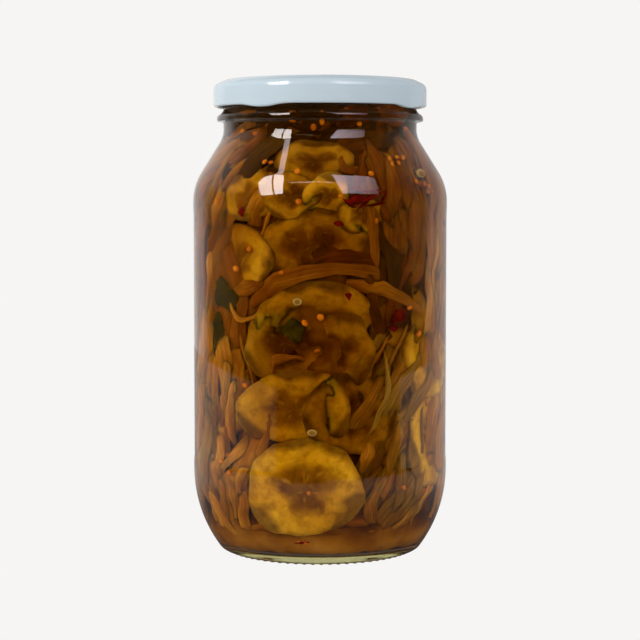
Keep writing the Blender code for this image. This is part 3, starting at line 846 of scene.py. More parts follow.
# %% Strips at the front
# Each strip: angle and height of both ends, bow, width, thickness, depth behind the glass, tint
FRONT_STRIPS = [
    (-46, 92, 44, 106, 13, 6.5, 1.4, 1.2, 0.3), (-40, 93, 20, 112, 7, 4.0, 1.4, 1.8, 0.3),
    (-50, 103, -28, 95, -4, 1.8, 1.2, 0.1, 0.7), (-52, 98, -16, 108, 3, 5.0, 1.6, 1.4, 0.3),
    (-28, 110, 40, 112, 4, 7.0, 1.4, 2.8, 0.1), (10, 108, 60, 92, 4, 4.4, 1.6, 1.0, 0.4),
    (-37, 76, -48, 45, -4, 5.0, 1.5, 0.5, 0.7), (-63, 88, -64, 48, 2, 6.5, 1.6, 0.9, 0.75),
    (-56, 86, -57, 50, -2, 6.0, 1.6, 1.4, 0.7), (-50, 84, -52, 52, 2, 5.5, 1.5, 0.7, 0.8),
    (-71, 84, -72, 44, 0, 6.5, 1.6, 1.2, 0.7), (-37, 50, -57, 32, 1, 5.0, 1.5, 0.3, 0.8),
    (-55, 51, -58, 28, 1.5, 4.5, 1.5, 0.8, 0.7), (-35, 40, -43, 24, -1, 4.2, 1.4, 0.8, 0.7),
    (-52, 37, -47, 12, 2, 7.0, 1.7, 1.1, 0.75), (-61, 42, -55, 13, 1, 6.0, 1.6, 0.9, 0.7),
    (-68, 28, -44, 8, -2, 4.0, 1.4, 0.4, 0.55), (-44, 31, -39, 11, 1, 6.0, 1.6, 1.5, 0.65),
    (-72, 46, -66, 18, -1, 6.0, 1.6, 1.3, 0.7), (-27, 73, -8, 80, 3, 3.0, 1.2, 1.0, 0.3),
    (62, 86, 30, 53, -3, 6.0, 1.6, 0.7, 0.97), (56, 77, 26, 42, -3, 6.0, 1.6, 1.2, 0.87),
    (47, 86, 23, 60, 3, 5.5, 1.5, 1.5, 0.82), (70, 76, 41, 50, -2, 5.5, 1.5, 0.5, 0.97),
    (41, 59, 29, 29, 3, 5.0, 1.5, 0.9, 0.87), (44, 49, 36, 15, 2, 5.0, 1.5, 0.7, 0.92),
    (34, 37, 26, 13, -2, 5.5, 1.5, 1.1, 0.82), (53, 45, 45, 13, 2, 5.0, 1.5, 1.3, 0.92),
    (61, 31, 38, 10, 2, 5.0, 1.5, 0.8, 0.82), (27, 51, 21, 33, -2, 5.0, 1.5, 1.7, 0.72),
    (34, 84, 22, 48, 2, 1.6, 1.2, 0.1, 1.00), (58, 66, 46, 30, 2, 4.0, 1.4, 0.5, 0.97),
    (36, 160, 32, 121, 3, 8.5, 1.2, 1.6, 0.25), (43, 155, 38, 112, -3, 9.5, 1.2, 2.0, 0.3),
    (30, 151, 28, 118, 2, 6.0, 1.3, 2.4, 0.2), (50, 150, 45, 106, 3, 9.0, 1.2, 1.4, 0.3),
    (58, 146, 52, 102, -2, 9.0, 1.2, 2.0, 0.3), (65, 142, 60, 97, 2, 8.0, 1.2, 1.6, 0.4),
    (46, 129, 39, 97, 2, 3.0, 1.2, 1.5, 0.15), (35, 123, 36, 97, -2, 8.0, 1.3, 3.2, 0.0),
    (48, 113, 37, 85, -4, 7.0, 1.3, 2.4, 0.1), (72, 134, 71, 91, 0, 8.5, 1.4, 1.2, 0.45),
    (-20, 165, -47, 145, 1, 8.5, 1.8, 0.2, -0.2), (-36, 168, -58, 148, 2, 6.0, 1.7, 1.0, 0.1),
    (-60, 160, -71, 127, 3, 7.0, 1.7, 0.9, 0.85), (-50, 148, -62, 124, -2, 6.0, 1.6, 1.4, 0.6),
    (-24, 148, -38, 128, 2, 5.5, 1.6, 1.9, 0.6), (-66, 126, -66, 92, 2, 6.0, 1.6, 1.2, 0.7),
    (-57, 108, -60, 84, -3, 5.5, 1.6, 1.0, 0.6), (12, 160, 22, 146, -3, 4.5, 1.5, 0.9, 0.2),
    (4, 113, 34, 110, -2, 7.0, 1.4, 3.0, -0.1),
]
print("strips placed by hand:", len(FRONT_STRIPS))

# %% [markdown]
# Behind those, whole zones of strips run one way: upright at the lower left, falling to the left at
# the lower right, hanging like a curtain at the upper right. The rest cross at all heights deeper
# down, so that every gap between two slices shows more strips.

# %% Zones of strips
# Each zone: angles, heights, lean from upright and its spread, tints, depths, number of strips
STRIP_ZONES = [
    ((-58, -34), (12, 88), 4, 18, (0.45, 0.7), (1.6, 4.4), 18),
    ((24, 56), (12, 88), 34, 18, (0.6, 0.98), (1.4, 4.4), 24),
    ((-88, -60), (12, 96), 4, 18, (0.6, 0.9), (0.2, 1.2), 14),
    ((60, 88), (12, 96), 10, 18, (0.5, 0.8), (0.3, 1.6), 12),
    ((68, 86), (92, 140), 4, 12, (0.4, 0.7), (0.2, 1.4), 8),
    ((22, 78), (120, 160), -8, 24, (0.1, 0.4), (1.6, 4.4), 34),
    ((20, 70), (84, 120), 10, 40, (-0.1, 0.15), (2.0, 4.6), 20),
    ((-80, -24), (126, 160), 40, 18, (0.25, 0.5), (1.2, 3.8), 26),
    ((-80, -46), (84, 130), 0, 18, (0.1, 0.5), (1.4, 4.2), 24),
    ((-34, 40), (64, 116), 80, 30, (0.0, 0.4), (5.0, 7.0), 16),
    # the neck's strips get the darkest tints: painted shade where the lid keeps light out
    ((-50, 50), (154, 171), 76, 20, (-0.3, 0.1), (1.4, 3.8), 24),
    ((-36, 36), (8, 11), 88, 6, (0.35, 0.6), (1.6, 2.6), 8),
    ((78, 282), (14, 170), 12, 38, (0.3, 0.9), (0.5, 3.0), 96),
]
print("strips in zones:", sum(zone[-1] for zone in STRIP_ZONES))

# %% [markdown]
# Three cuts of strip are mixed: thin threads, common strips and broad onion leaves. In a zone they are
# spread by the golden share, which fills it evenly. The deep ones lie at all angles.

# %% Strips by rule
# Each cut: share of the whole, widths, thicknesses
STRIP_CUT_SIZES = [(0.14, (1.2, 2.2), (0.9, 1.3)), (0.26, (3.5, 5.5), (1.4, 2.0)),
                   (0.60, (6.0, 12.0), (0.9, 1.4))]
STRIP_FOOT, STRIP_TOP = 9, 174
DEEP_STRIPS, DEEP_STRIP_FOOT, DEEP_STRIP_TOP = 110, 11, 172


def cut_size():
    """Width and thickness of one strip, by the share of its cut."""
    share = draw.random()
    for part, widths, thicks in STRIP_CUT_SIZES:
        if share < part:
            break
        share -= part
    return draw.uniform(*widths), draw.uniform(*thicks)


def zone_strips():
    """Strips spread evenly over each zone."""
    for angles, heights, lean, spread, tints, depths, count in STRIP_ZONES:
        for index in range(count):
            angle = angles[0] + (angles[1] - angles[0]) * ((index + 0.5) / count)
            share = (index * GOLDEN_SHARE + draw.uniform(0, 0.1)) % 1
            height = heights[0] + (heights[1] - heights[0]) * share
            tilt = math.radians(lean + draw.uniform(-spread, spread))
            half = draw.uniform(18, 30)
            turn = math.degrees(half * math.sin(tilt) / wall_radius(height))
            low, high = height - half * math.cos(tilt), height + half * math.cos(tilt)
            bow = draw.uniform(-7, 7)
            width, thick = cut_size()
            depth, tint = draw.uniform(*depths), draw.uniform(*tints)
            yield (angle + turn, min(STRIP_TOP, high), angle - turn, max(STRIP_FOOT, low),
                   bow, width, thick, depth, tint)


def deep_strips():
    """Strips at all angles and heights behind the first layers."""
    for index in range(DEEP_STRIPS):
        angle, height = GOLDEN_ANGLE * index % 360, 14 + 156 * ((index * GOLDEN_SHARE) % 1)
        lean = math.radians(draw.uniform(0, 180))
        half = draw.uniform(14, 26)
        turn = math.degrees(half * math.cos(lean) / wall_radius(height))
        ends = [min(DEEP_STRIP_TOP, max(DEEP_STRIP_FOOT, height + side * half * math.sin(lean)))
                for side in (-1, 1)]
        bow = draw.uniform(-6, 6)
        width, thick = draw.uniform(4.0, 7.0), draw.uniform(1.6, 2.6)
        depth, tint = draw.uniform(4.6, 7.0), draw.uniform(0.1, 0.5)
        yield angle - turn, ends[0], angle + turn, ends[1], bow, width, thick, depth, tint


print("strips behind the zones:", DEEP_STRIPS)

# %% [markdown]
# Now all strips are laid, joined, made a little lumpy and pushed about by the shared swirls.

# %% Lay the strips
STRIP_LUMPS = (4.0, 0.7)
strip_places = FRONT_STRIPS + list(zone_strips()) + list(deep_strips())
onion = join([strip_copy(i, place) for i, place in enumerate(strip_places)], "onion_strips")
bpy.data.objects.remove(strip_flat)
soften(onion, *STRIP_LUMPS)
settle(onion)
print("strips:", len(strip_places), "copies,", triangles(onion), "triangles")

# %% [markdown]
# Mustard seeds are a little over 2 mm and swell in the brine. One small icosphere is pressed a little
# flat, and each copy is moved to its place. Most are strewn at random, and some lie where the
# photograph shows them, one after another or in a cluster at the right of the shoulder. Particles
# would strew them as well, but plain meshes open in any program.

# %% The mustard seeds
# Each seed: angle and height
SEED_PLACES = [
    (37.8, 152.7), (44.3, 153.8), (39.1, 150.8), (44.5, 151.5), (48.6, 153.4), (52.4, 144.9),
    (62.6, 143.1), (59.7, 144.5), (64.5, 141.0), (60.6, 141.4), (26.7, 147.5), (64.7, 165.1),
    (-56.0, 164.0), (-43.8, 162.1), (-30.1, 151.2), (-26.0, 151.2), (-12.2, 149.0), (-56.4, 138.6),
    (-11.5, 10.2), (-7.5, 9.8), (-42.5, 112.5), (-7.7, 92.5), (-0.5, 95.5), (9.5, 139.8),
    (53.0, 88.9), (42.7, 29.1),
]
STREWN_SEEDS, NECK_SEEDS, SEED_RADIUS = 80, 7, (1.0, 1.25)
seed_flat = new_piece("seed_flat", bpy.ops.mesh.primitive_ico_sphere_add, subdivisions=2, radius=1.0)
bpy.ops.object.mode_set(mode="EDIT")
bpy.ops.mesh.select_all(action="SELECT")
bpy.ops.transform.resize(value=(1.0, 0.92, 0.96))
bpy.ops.object.mode_set(mode="OBJECT")


def seed_copy(index, angle, height, depth):
    """A seed at an angle and height, its near side a depth behind the film of brine."""
    size = draw.uniform(*SEED_RADIUS)
    middle = on_circle(angle, wall_radius(height) - CLEAR - depth - size, height)
    squash = Vector((draw.uniform(0.9, 1.0), draw.uniform(0.9, 1.0), draw.uniform(0.9, 1.0)))
    made = copy_of(seed_flat, f"seed_{index}", lambda p: (middle + p * squash * size) * 0.001)
    add_tint(made, draw.random())
    return made


seeds = [seed_copy(i, a, z, 0.1) for i, (a, z) in enumerate(SEED_PLACES)]
for index in range(STREWN_SEEDS):
    angle, height = draw.uniform(-180, 180), draw.uniform(12, 160)
    seeds.append(seed_copy(len(seeds), angle, height, draw.uniform(0.2, 3.5)))
for index in range(NECK_SEEDS):
    angle = draw.uniform(-62, 62)
    seeds.append(seed_copy(len(seeds), angle, draw.uniform(164.0, 173.0), draw.uniform(0.8, 2.4)))
count = len(seeds)
mustard = join(seeds, "mustard_seeds")
settle(mustard)
bpy.data.objects.remove(seed_flat)
print("mustard seeds:", count, "copies,", triangles(mustard), "triangles")

# %% [markdown]
# A flake of chilli or a bit of peel is thin and crumpled. It starts as a cube that is subdivided
# smoothly, which rounds its corners. Each copy is then pressed to a plate and crumpled by waves whose
# start is a seeded draw. A cloth simulation could crumple it, but a flake is too small to need one.

# %% Model one flake
flake_flat = new_piece("flake_flat", bpy.ops.mesh.primitive_cube_add, size=1.0)
bpy.ops.object.mode_set(mode="EDIT")
bpy.ops.mesh.select_all(action="SELECT")
bpy.ops.mesh.subdivide(number_cuts=3, smoothness=0.6)
bpy.ops.object.mode_set(mode="OBJECT")


def flake_copy(name, place):
    """A flake at (angle, height, width, tall, thickness, roll, depth)."""
    angle, height, width, tall, thick, roll, depth = place
    roll, waves = math.radians(roll), draw.uniform(0, 6)

    def laid(unit):
        """Where a point of the flat plate goes: corners drawn in, edges wavy, the face crumpled."""
        pull = 1 - 5 * (unit.x * unit.y) ** 2
        x, y = unit.x * width * pull, unit.y * tall * pull
        x += 0.12 * width * math.sin(3 * unit.y + waves)
        y += 0.12 * tall * math.sin(4 * unit.x + 2 * waves)
        crumple = 0.35 * math.sin(5 * unit.x + waves) * math.cos(4 * unit.y + waves)
        across, up = x * math.cos(roll) - y * math.sin(roll), x * math.sin(roll) + y * math.cos(roll)
        inward = CLEAR + depth + thick * (0.5 - unit.z) + 0.35 + crumple
        return into_jar(on_circle(angle + math.degrees(across / wall_radius(height)),
                                  wall_radius(height + up) - inward, height + up))

    return copy_of(flake_flat, name, laid)


print("one flake:", triangles(flake_flat), "triangles")

# %% [markdown]
# Red chilli is what catches the eye: a torn piece behind the right window's reflection and single
# flakes. Bits of dark peel, two at the left and one in the middle, are made from the same plate.

# %% Lay the chilli and the peel
# Each: angle, height, width, height of its own, thickness, roll and depth
CHILLI_PLACES = [
    (17.5, 138.4, 8.0, 2.2, 1.2, 12.0, 0.2), (24.0, 139.4, 9.0, 1.1, 0.9, 30.0, 0.1),
    (15.0, 136.8, 5.0, 1.0, 0.9, -28.0, 0.1), (26.5, 136.8, 7.0, 0.9, 0.9, 8.0, 0.3),
    (21.0, 141.4, 7.0, 1.0, 0.9, -12.0, 0.4), (30.5, 140.5, 5.0, 0.8, 0.8, 62.0, 0.2),
    (20.5, 136.4, 6.0, 0.8, 0.8, 44.0, 0.2), (27.0, 142.4, 5.0, 0.8, 0.8, 18.0, 0.3),
    (-36.9, 134.4, 2.6, 2.8, 0.9, 8.0, 0.0), (41.0, 95.0, 5.5, 4.5, 1.2, 40.0, 1.2),
    (38.0, 90.5, 4.0, 2.0, 0.9, -10.0, 0.8), (-9.5, 9.6, 5.0, 1.0, 0.8, 4.0, 0.0),
    (12.5, 103.0, 1.8, 1.8, 0.8, 0.0, 0.1), (9.5, 130.0, 3.0, 1.6, 0.9, -14.0, 0.6),
    (110.0, 70.0, 6.0, 3.0, 1.1, 25.0, 0.3), (-140.0, 110.0, 5.0, 3.0, 1.1, -30.0, 0.3),
    (160.0, 40.0, 4.0, 3.0, 1.0, 10.0, 0.3), (-105.0, 50.0, 5.0, 2.4, 1.0, 60.0, 0.3),
    (-170.0, 146.0, 4.0, 3.0, 1.0, 0.0, 0.3), (80.0, 130.0, 3.0, 2.4, 0.9, 15.0, 0.3),
]
PEEL_PLACES = [
    (-13.5, 90.0, 8.0, 6.0, 0.9, 20.0, 1.9), (-49.0, 102.0, 9.0, 10.0, 1.6, 20.0, 1.0),
    (-55.0, 90.0, 6.0, 12.0, 1.4, -12.0, 1.2), (130.0, 100.0, 10.0, 12.0, 1.6, 35.0, 0.8),
    (-120.0, 80.0, 9.0, 12.0, 1.6, -25.0, 0.8),
]
chilli = join([flake_copy(f"chilli_{i}", p) for i, p in enumerate(CHILLI_PLACES)], "chilli_flakes")
peel = join([flake_copy(f"peel_{i}", p) for i, p in enumerate(PEEL_PLACES)], "peel_bits")
for piece in (chilli, peel):
    settle(piece)
bpy.data.objects.remove(flake_flat)
print("chilli:", len(CHILLI_PLACES), "flakes,", triangles(chilli), "triangles")
print("peel:", len(PEEL_PLACES), "bits,", triangles(peel), "triangles")

# %% [markdown]
# A few bubbles of air stick to the glass. A bubble is a small ball pressed a little flat against the
# wall. Its light rim, a painted reflection, and its dark middle, painted shade, are drawn from a `rim`
# attribute that grows from the middle of its near side outwards. An icosphere would need fewer faces,
# but the rings of a UV sphere run round the bubble as its rim does.

# %% Air bubbles
bubble_flat = new_piece("bubble_flat", bpy.ops.mesh.primitive_uv_sphere_add, segments=24,
                        ring_count=16, radius=1.0)
bpy.ops.object.mode_set(mode="EDIT")
bpy.ops.mesh.select_all(action="SELECT")
bpy.ops.transform.resize(value=(1.0, 1.0, 0.6))
bpy.ops.object.mode_set(mode="OBJECT")
rim_layer = bubble_flat.data.attributes.new("rim", "FLOAT", "POINT")
rim_layer.data.foreach_set("value", [v.co.xy.length for v in bubble_flat.data.vertices])


def bubble_copy(index, place):
    """A bubble at (angle, height, width, tall) against the glass."""
    angle, height, width, tall = place
    out_way, side = on_circle(angle, 1.0, 0.0), on_circle(angle + 90, 1.0, 0.0)
    middle = on_circle(angle, wall_radius(height) - CLEAR, height) - out_way * 0.3 * width

    def laid(unit):
        """Where a point of the ball goes: it lies flat on the glass."""
        moved = side * unit.x * 0.5 * width + Vector((0, 0, unit.y * 0.5 * tall))
        return (middle + moved + out_way * unit.z * 0.4 * width) * 0.001

    return copy_of(bubble_flat, f"bubble_{index}", laid)


# Each bubble: angle, height, width and height of its own
BUBBLE_PLACES = [
    (58.8, 147.3, 7.0, 4.0), (-3.6, 51.8, 4.2, 3.0), (-10.3, 100.8, 4.0, 3.2), (62.0, 88.0, 1.4, 1.2),
    (-76.0, 85.5, 1.5, 1.3), (-73.0, 79.5, 1.0, 1.0), (47.0, 55.0, 1.4, 1.2), (38.0, 57.5, 1.0, 1.0),
    (57.0, 52.0, 1.2, 1.4), (-28.0, 70.0, 0.9, 0.9), (120.0, 96.0, 3.0, 2.6), (-150.0, 60.0, 2.6, 2.2),
    (172.0, 132.0, 2.0, 1.8), (-98.0, 118.0, 1.8, 1.6), (90.0, 36.0, 1.6, 1.6),
]
bubbles = join([bubble_copy(i, place) for i, place in enumerate(BUBBLE_PLACES)], "air_bubbles")
bpy.data.objects.remove(bubble_flat)
print("bubbles:", len(BUBBLE_PLACES), "copies,", triangles(bubbles), "triangles")

# %% [markdown]
# Round pieces shade smoothly, but the bead's edge, the rim of the lid's recess and the knurls are
# crisp. Smooth by Angle keeps an edge sharp where two faces meet at more than the angle given.

# %% Smooth shading
SHARP_FROM = ((jar, 28), (lid, 32), (brine, 35), (core, 60), (cucumber, 50), (onion, 60),
              (mustard, 80), (chilli, 60), (peel, 60), (bubbles, 80))
for piece, angle in SHARP_FROM:
    take(piece)
    bpy.ops.object.shade_smooth_by_angle(angle=math.radians(angle))
for piece in ridges:
    take(piece)
    bpy.ops.object.shade_smooth()
print("smoothed:", len(SHARP_FROM) + len(ridges), "pieces")

# %% [markdown]
# Materials are small graphs of nodes. Four helpers carry them all. One turns a hex colour as read on
# a screen into Blender's linear values, and one works out a noise's scale from the width of its blobs
# in millimetres. One starts an empty material, and one adds a node with its settings and links.

# %% Material helpers
def colour(text):
    """An sRGB hex colour as linear red, green, blue and alpha."""
    parts = [int(text[i:i + 2], 16) / 255 for i in (1, 3, 5)]
    return (*[p / 12.92 if p <= 0.04045 else ((p + 0.055) / 1.055) ** 2.4 for p in parts], 1.0)


def blobs(width):
    """The scale of a noise whose blobs have this width in millimetres."""
    return 1000 / width


def new_material(name):
    """An empty material and its node tree."""
    made = bpy.data.materials.new(name)
    made.use_nodes = True
    made.node_tree.nodes.clear()
    return made, made.node_tree


def add(tree, kind, *values, stops=(), **named):
    """Add a node and fill it in.

    The values go to its inputs in order. Of the named ones, those with a capital letter are inputs,
    with _ for a space, and the others are settings. A node given as a value stands for its first
    output. The stops are the places and colours of a colour ramp.
    """
    made = tree.nodes.new("ShaderNode" + kind)
    inputs = dict(enumerate(values))
    for name, value in named.items():
        if name.islower():
            setattr(made, name, value)
        else:
            inputs[name.replace("_", " ")] = value
    for key, value in inputs.items():
        if isinstance(value, bpy.types.Node):
            value = next(output for output in value.outputs if output.enabled)
        if isinstance(value, bpy.types.NodeSocket):
            tree.links.new(value, made.inputs[key])
        else:
            made.inputs[key].default_value = value
    if stops:
        ramp = made.color_ramp.elements
        ramp.remove(ramp[1])
        ramp[0].position, ramp[0].color = stops[0][0], colour(stops[0][1])
        for place, shade in stops[1:]:
            ramp.new(place).color = colour(shade)
    return made


MIXED = {"data_type": "RGBA"}
MULTIPLIED = {"data_type": "RGBA", "blend_type": "MULTIPLY", "Factor": 1.0}
print("mid grey is", round(colour("#808080")[0], 3), "in linear light")

# %% [markdown]
# Flint glass is clear, with an index of 1.5, and has a faint green cast where it is thick, as at the
# base. Brine with spice has an index of 1.34, is brown and takes up blue light most. Both are a
# refracting surface with a volume inside that absorbs. Cycles would need a great many samples to find
# light through them, so shadow rays and rays scattered by the contents pass straight through: the
# pickles are lit as if the glass weren't there, and the camera still sees every bend and reflection.
# Where brine wets the glass, the real surface hardly mirrors, because the two indices are close, so
# the mirror colour there is black.

# %% Glass and brine materials
WHITE, BLACK = "#ffffff", "#000000"
GLASS_INDEX, BRINE_INDEX = 1.5, 1.34


def clear_material(name, index, mirror, cast=None, density=0.0):
    """Clear glass or liquid, with a volume inside where it has a cast and a density."""
    made, tree = new_material(name)
    rays = add(tree, "LightPath")
    straight = add(tree, "BsdfTransparent")
    surface = add(tree, "BsdfPrincipled", Base_Color=colour(WHITE), Roughness=0.0, IOR=index,
                  Transmission_Weight=1.0, Specular_Tint=colour(mirror))
    for ray in ("Is Shadow Ray", "Is Diffuse Ray"):
        surface = add(tree, "MixShader", rays.outputs[ray], surface, straight)
    ends = {"Surface": surface}
    if cast:
        ends["Volume"] = add(tree, "VolumeAbsorption", Color=colour(cast), Density=density)
    add(tree, "OutputMaterial", **ends)
    return made


flint_glass = clear_material("flint_glass", GLASS_INDEX, WHITE, "#e2e3c8", 28.0)
wetted_glass = clear_material("flint_glass_wetted", GLASS_INDEX, BLACK)
spiced_brine = clear_material("spiced_brine", BRINE_INDEX, BLACK, "#f0e595", 400.0)
jar.data.materials.append(flint_glass)
jar.data.materials.append(wetted_glass)
brine.data.materials.append(spiced_brine)
for piece in ridges:
    piece.data.materials.append(flint_glass)


def is_wetted(middle, normal):
    """True on the glass's inner faces below the brine's level.

    A face that looks up counts only low down, because the shoulder's outside looks up too.
    """
    inward = normal.x * middle.x + normal.y * middle.y < -1e-5
    on_floor = normal.z > 0.5 and middle.z < mm(FLOOR + 35)
    return (inward or on_floor) and mm(FLOOR - 0.5) < middle.z < mm(BRINE_LEVEL)


pick(jar, "FACE", is_wetted)
jar.active_material_index = 1
bpy.ops.object.material_slot_assign()
bpy.ops.object.mode_set(mode="OBJECT")
print("wetted faces:", sum(face.material_index for face in jar.data.polygons))

# %% [markdown]
# The lid is tinplate with a baked enamel: a pale blue white, smooth and glossy, with the faint ripple
# that painters call orange peel. The ripple is about a millimetre wide and a few micrometres deep,
# so it only makes the edges of reflections a little soft.

# %% Enamel of the lid
baked_enamel, tree = new_material("baked_enamel")
place = add(tree, "TexCoord").outputs["Object"]
uneven_bake = add(tree, "TexNoise", Vector=place, Scale=blobs(40), Detail=2.0)
tones = add(tree, "ValToRGB", uneven_bake, stops=[(0.35, "#a4b3bd"), (0.65, "#adbbc5")])
orange_peel = add(tree, "TexNoise", Vector=place, Scale=blobs(1.1), Detail=1.0)
ripple = add(tree, "Bump", Height=orange_peel, Distance=mm(0.006))
surface = add(tree, "BsdfPrincipled", Base_Color=tones, Normal=ripple, Roughness=0.1, IOR=1.5)
add(tree, "OutputMaterial", Surface=surface)
lid.data.materials.append(baked_enamel)
print("enamel:", len(tree.nodes), "nodes")

# %% [markdown]
# Pickled cucumber is soft and half clear, and light spreads some millimetres inside it. Its index is
# about 1.4 and the brine's 1.34, so against the brine it is only 1.05 and hardly mirrors. Its look
# follows the distance from the slice's middle on its UV map. The skin is a thin olive line, the flesh
# inside it bright yellow, and the seed part in the middle brown from the brine, in three lobes. Clouds
# 14 mm wide keep those rings from being round.

# %% Rings of a cucumber slice
WET_FOOD = {"IOR": 1.05, "Subsurface_Weight": 1.0, "Subsurface_Scale": mm(2.8),
            "Subsurface_Radius": (1.0, 1.0, 0.6)}
LOBES, LOBE_DEPTH, RING_WOBBLE, SKIN_FROM = 3.0, 0.16, 0.9, 0.96
pickled_cucumber, tree = new_material("pickled_cucumber")
place = add(tree, "TexCoord").outputs["Object"]
face_map = add(tree, "UVMap", uv_map="slice_face")
centred = add(tree, "VectorMath", face_map, (2, 2, 0), (-1, -1, 0), operation="MULTIPLY_ADD")
apart = add(tree, "SeparateXYZ", centred)
reach = add(tree, "VectorMath", centred, operation="LENGTH")
around = add(tree, "Math", apart.outputs["Y"], apart.outputs["X"], operation="ARCTAN2")
lobe_turn = add(tree, "Math", around, LOBES, operation="MULTIPLY")
lobe = add(tree, "Math", lobe_turn, operation="SINE")
lobed = add(tree, "Math", lobe, -LOBE_DEPTH, reach, operation="MULTIPLY_ADD")
clouds = add(tree, "TexNoise", Vector=place, Scale=blobs(14.3), Detail=1.5)
wobble = add(tree, "Math", clouds, RING_WOBBLE, -0.5 * RING_WOBBLE, operation="MULTIPLY_ADD")
uneven = add(tree, "Math", lobed, wobble, operation="ADD")
skin = add(tree, "Math", reach, SKIN_FROM, operation="MULTIPLY")
ring = add(tree, "Math", uneven, skin, operation="MAXIMUM")
flesh = add(tree, "ValToRGB", ring, stops=[
    (0.0, "#865a1c"), (0.38, "#94661a"), (0.5, "#b4841e"), (0.62, "#dcae2e"), (0.84, "#dcae34"),
    (0.94, "#b0842a"), (1.0, "#8a6420")])
print("cucumber's rings:", len(tree.nodes), "nodes")

# %% [markdown]
# The seeds lie in the middle and point outwards. A Voronoi pattern draws them: its cells are laid out
# by the turn and the distance from the middle, and each is about 7 mm long and 3 mm wide, with one
# seed in it. The seeds show only faintly, as they do in the jar.

# %% Seeds in a cucumber slice
SEED_CELLS_ROUND, SEED_CELLS_OUT = 2.2, 3.0
seed_turn = add(tree, "Math", around, SEED_CELLS_ROUND, operation="MULTIPLY")
seed_run = add(tree, "Math", reach, SEED_CELLS_OUT, operation="MULTIPLY")
seed_place = add(tree, "CombineXYZ", X=seed_turn, Y=seed_run)
seed_cells = add(tree, "TexVoronoi", Vector=seed_place, Scale=1.0, Randomness=0.8)
seed_shape = add(tree, "MapRange", seed_cells, From_Min=0.2, From_Max=0.34, To_Min=0.5, To_Max=0.0)
in_middle = add(tree, "MapRange", ring, From_Min=0.42, From_Max=0.6, To_Min=1.0, To_Max=0.0)
seed_share = add(tree, "Math", seed_shape, in_middle, operation="MULTIPLY")
seeded = add(tree, "Mix", Factor=seed_share, A=flesh, B=colour("#c89a3c"), **MIXED)
print("with seeds:", len(tree.nodes), "nodes")

# %% [markdown]
# Brine gets into the flesh unevenly, in cloudy patches of about 5 mm, and the same noise makes the
# cut face a little rough. Each slice's tint then makes it browner as a whole, or leaves it bright.

# %% Patches and tint of a cucumber slice
patchy = add(tree, "TexNoise", Vector=place, Scale=blobs(5), Detail=5.0, Roughness=0.65)
patches = add(tree, "ValToRGB", patchy, stops=[(0.34, "#c8ba96"), (0.58, "#ffffff")])
mottled = add(tree, "Mix", A=seeded, B=patches, **MULTIPLIED)
tint = add(tree, "Attribute", attribute_name="tint").outputs["Fac"]
browned = add(tree, "ValToRGB", tint, stops=[(0.0, "#94784c"), (0.5, "#ccbc90"), (1.0, "#ffffff")])
tinted = add(tree, "Mix", A=mottled, B=browned, **MULTIPLIED)
rough = add(tree, "Bump", Height=patchy, Distance=mm(0.6), Strength=0.6)
surface = add(tree, "BsdfPrincipled", Base_Color=tinted, Normal=rough, Roughness=0.45, **WET_FOOD)
add(tree, "OutputMaterial", Surface=surface)
cucumber.data.materials.append(pickled_cucumber)
print("whole cucumber:", len(tree.nodes), "nodes")

# %% [markdown]
# Onion goes brown and glassy in the brine, with fine veins along the strip. The veins are a noise
# stretched along the strip's UV map, each 1 to 2 mm wide. Each strip's tint chooses a tone between
# rust and straw, and clouds of 9 mm let the tone drift along it.

# %% Onion
VEIN_STRETCH, VEIN_SCALE, TONE_DRIFT = (1.2, 5.0, 1.0), 2.0, 0.5
pickled_onion, tree = new_material("pickled_onion")
place = add(tree, "TexCoord").outputs["Object"]
along = add(tree, "UVMap", uv_map="strip_length")
stretched = add(tree, "Mapping", Vector=along, Scale=VEIN_STRETCH)
veins = add(tree, "TexNoise", Vector=stretched, Scale=VEIN_SCALE, Detail=2.0)
clouds = add(tree, "TexNoise", Vector=place, Scale=blobs(9.1), Detail=3.0)
drift = add(tree, "Math", clouds, TONE_DRIFT, -0.5 * TONE_DRIFT, operation="MULTIPLY_ADD")
tint = add(tree, "Attribute", attribute_name="tint").outputs["Fac"]
tone = add(tree, "Math", tint, drift, operation="ADD")
amber = add(tree, "ValToRGB", tone, stops=[
    (0.0, "#4a2c06"), (0.15, "#78400e"), (0.3, "#8e5614"), (0.5, "#a46c1c"), (0.68, "#b87e32"),
    (0.84, "#96692c"), (1.0, "#8a672a")])
streaks = add(tree, "ValToRGB", veins, stops=[(0.38, "#a08864"), (0.6, "#ffffff")])
veined = add(tree, "Mix", A=amber, B=streaks, **MULTIPLIED | {"Factor": 0.6})
ribbed = add(tree, "Bump", Height=veins, Distance=mm(0.3), Strength=0.5)
surface = add(tree, "BsdfPrincipled", Base_Color=veined, Normal=ribbed, Roughness=0.4, **WET_FOOD)
add(tree, "OutputMaterial", Surface=surface)
onion.data.materials.append(pickled_onion)
print("onion:", len(tree.nodes), "nodes")

# %% [markdown]
# Between the pieces one sees spice, shreds and shadow, packed close. The core's colour is a dark
# brown noise with clumps of 11 mm. At the floor pale silt has settled, and the neck is darker,
# because the lid keeps light out.

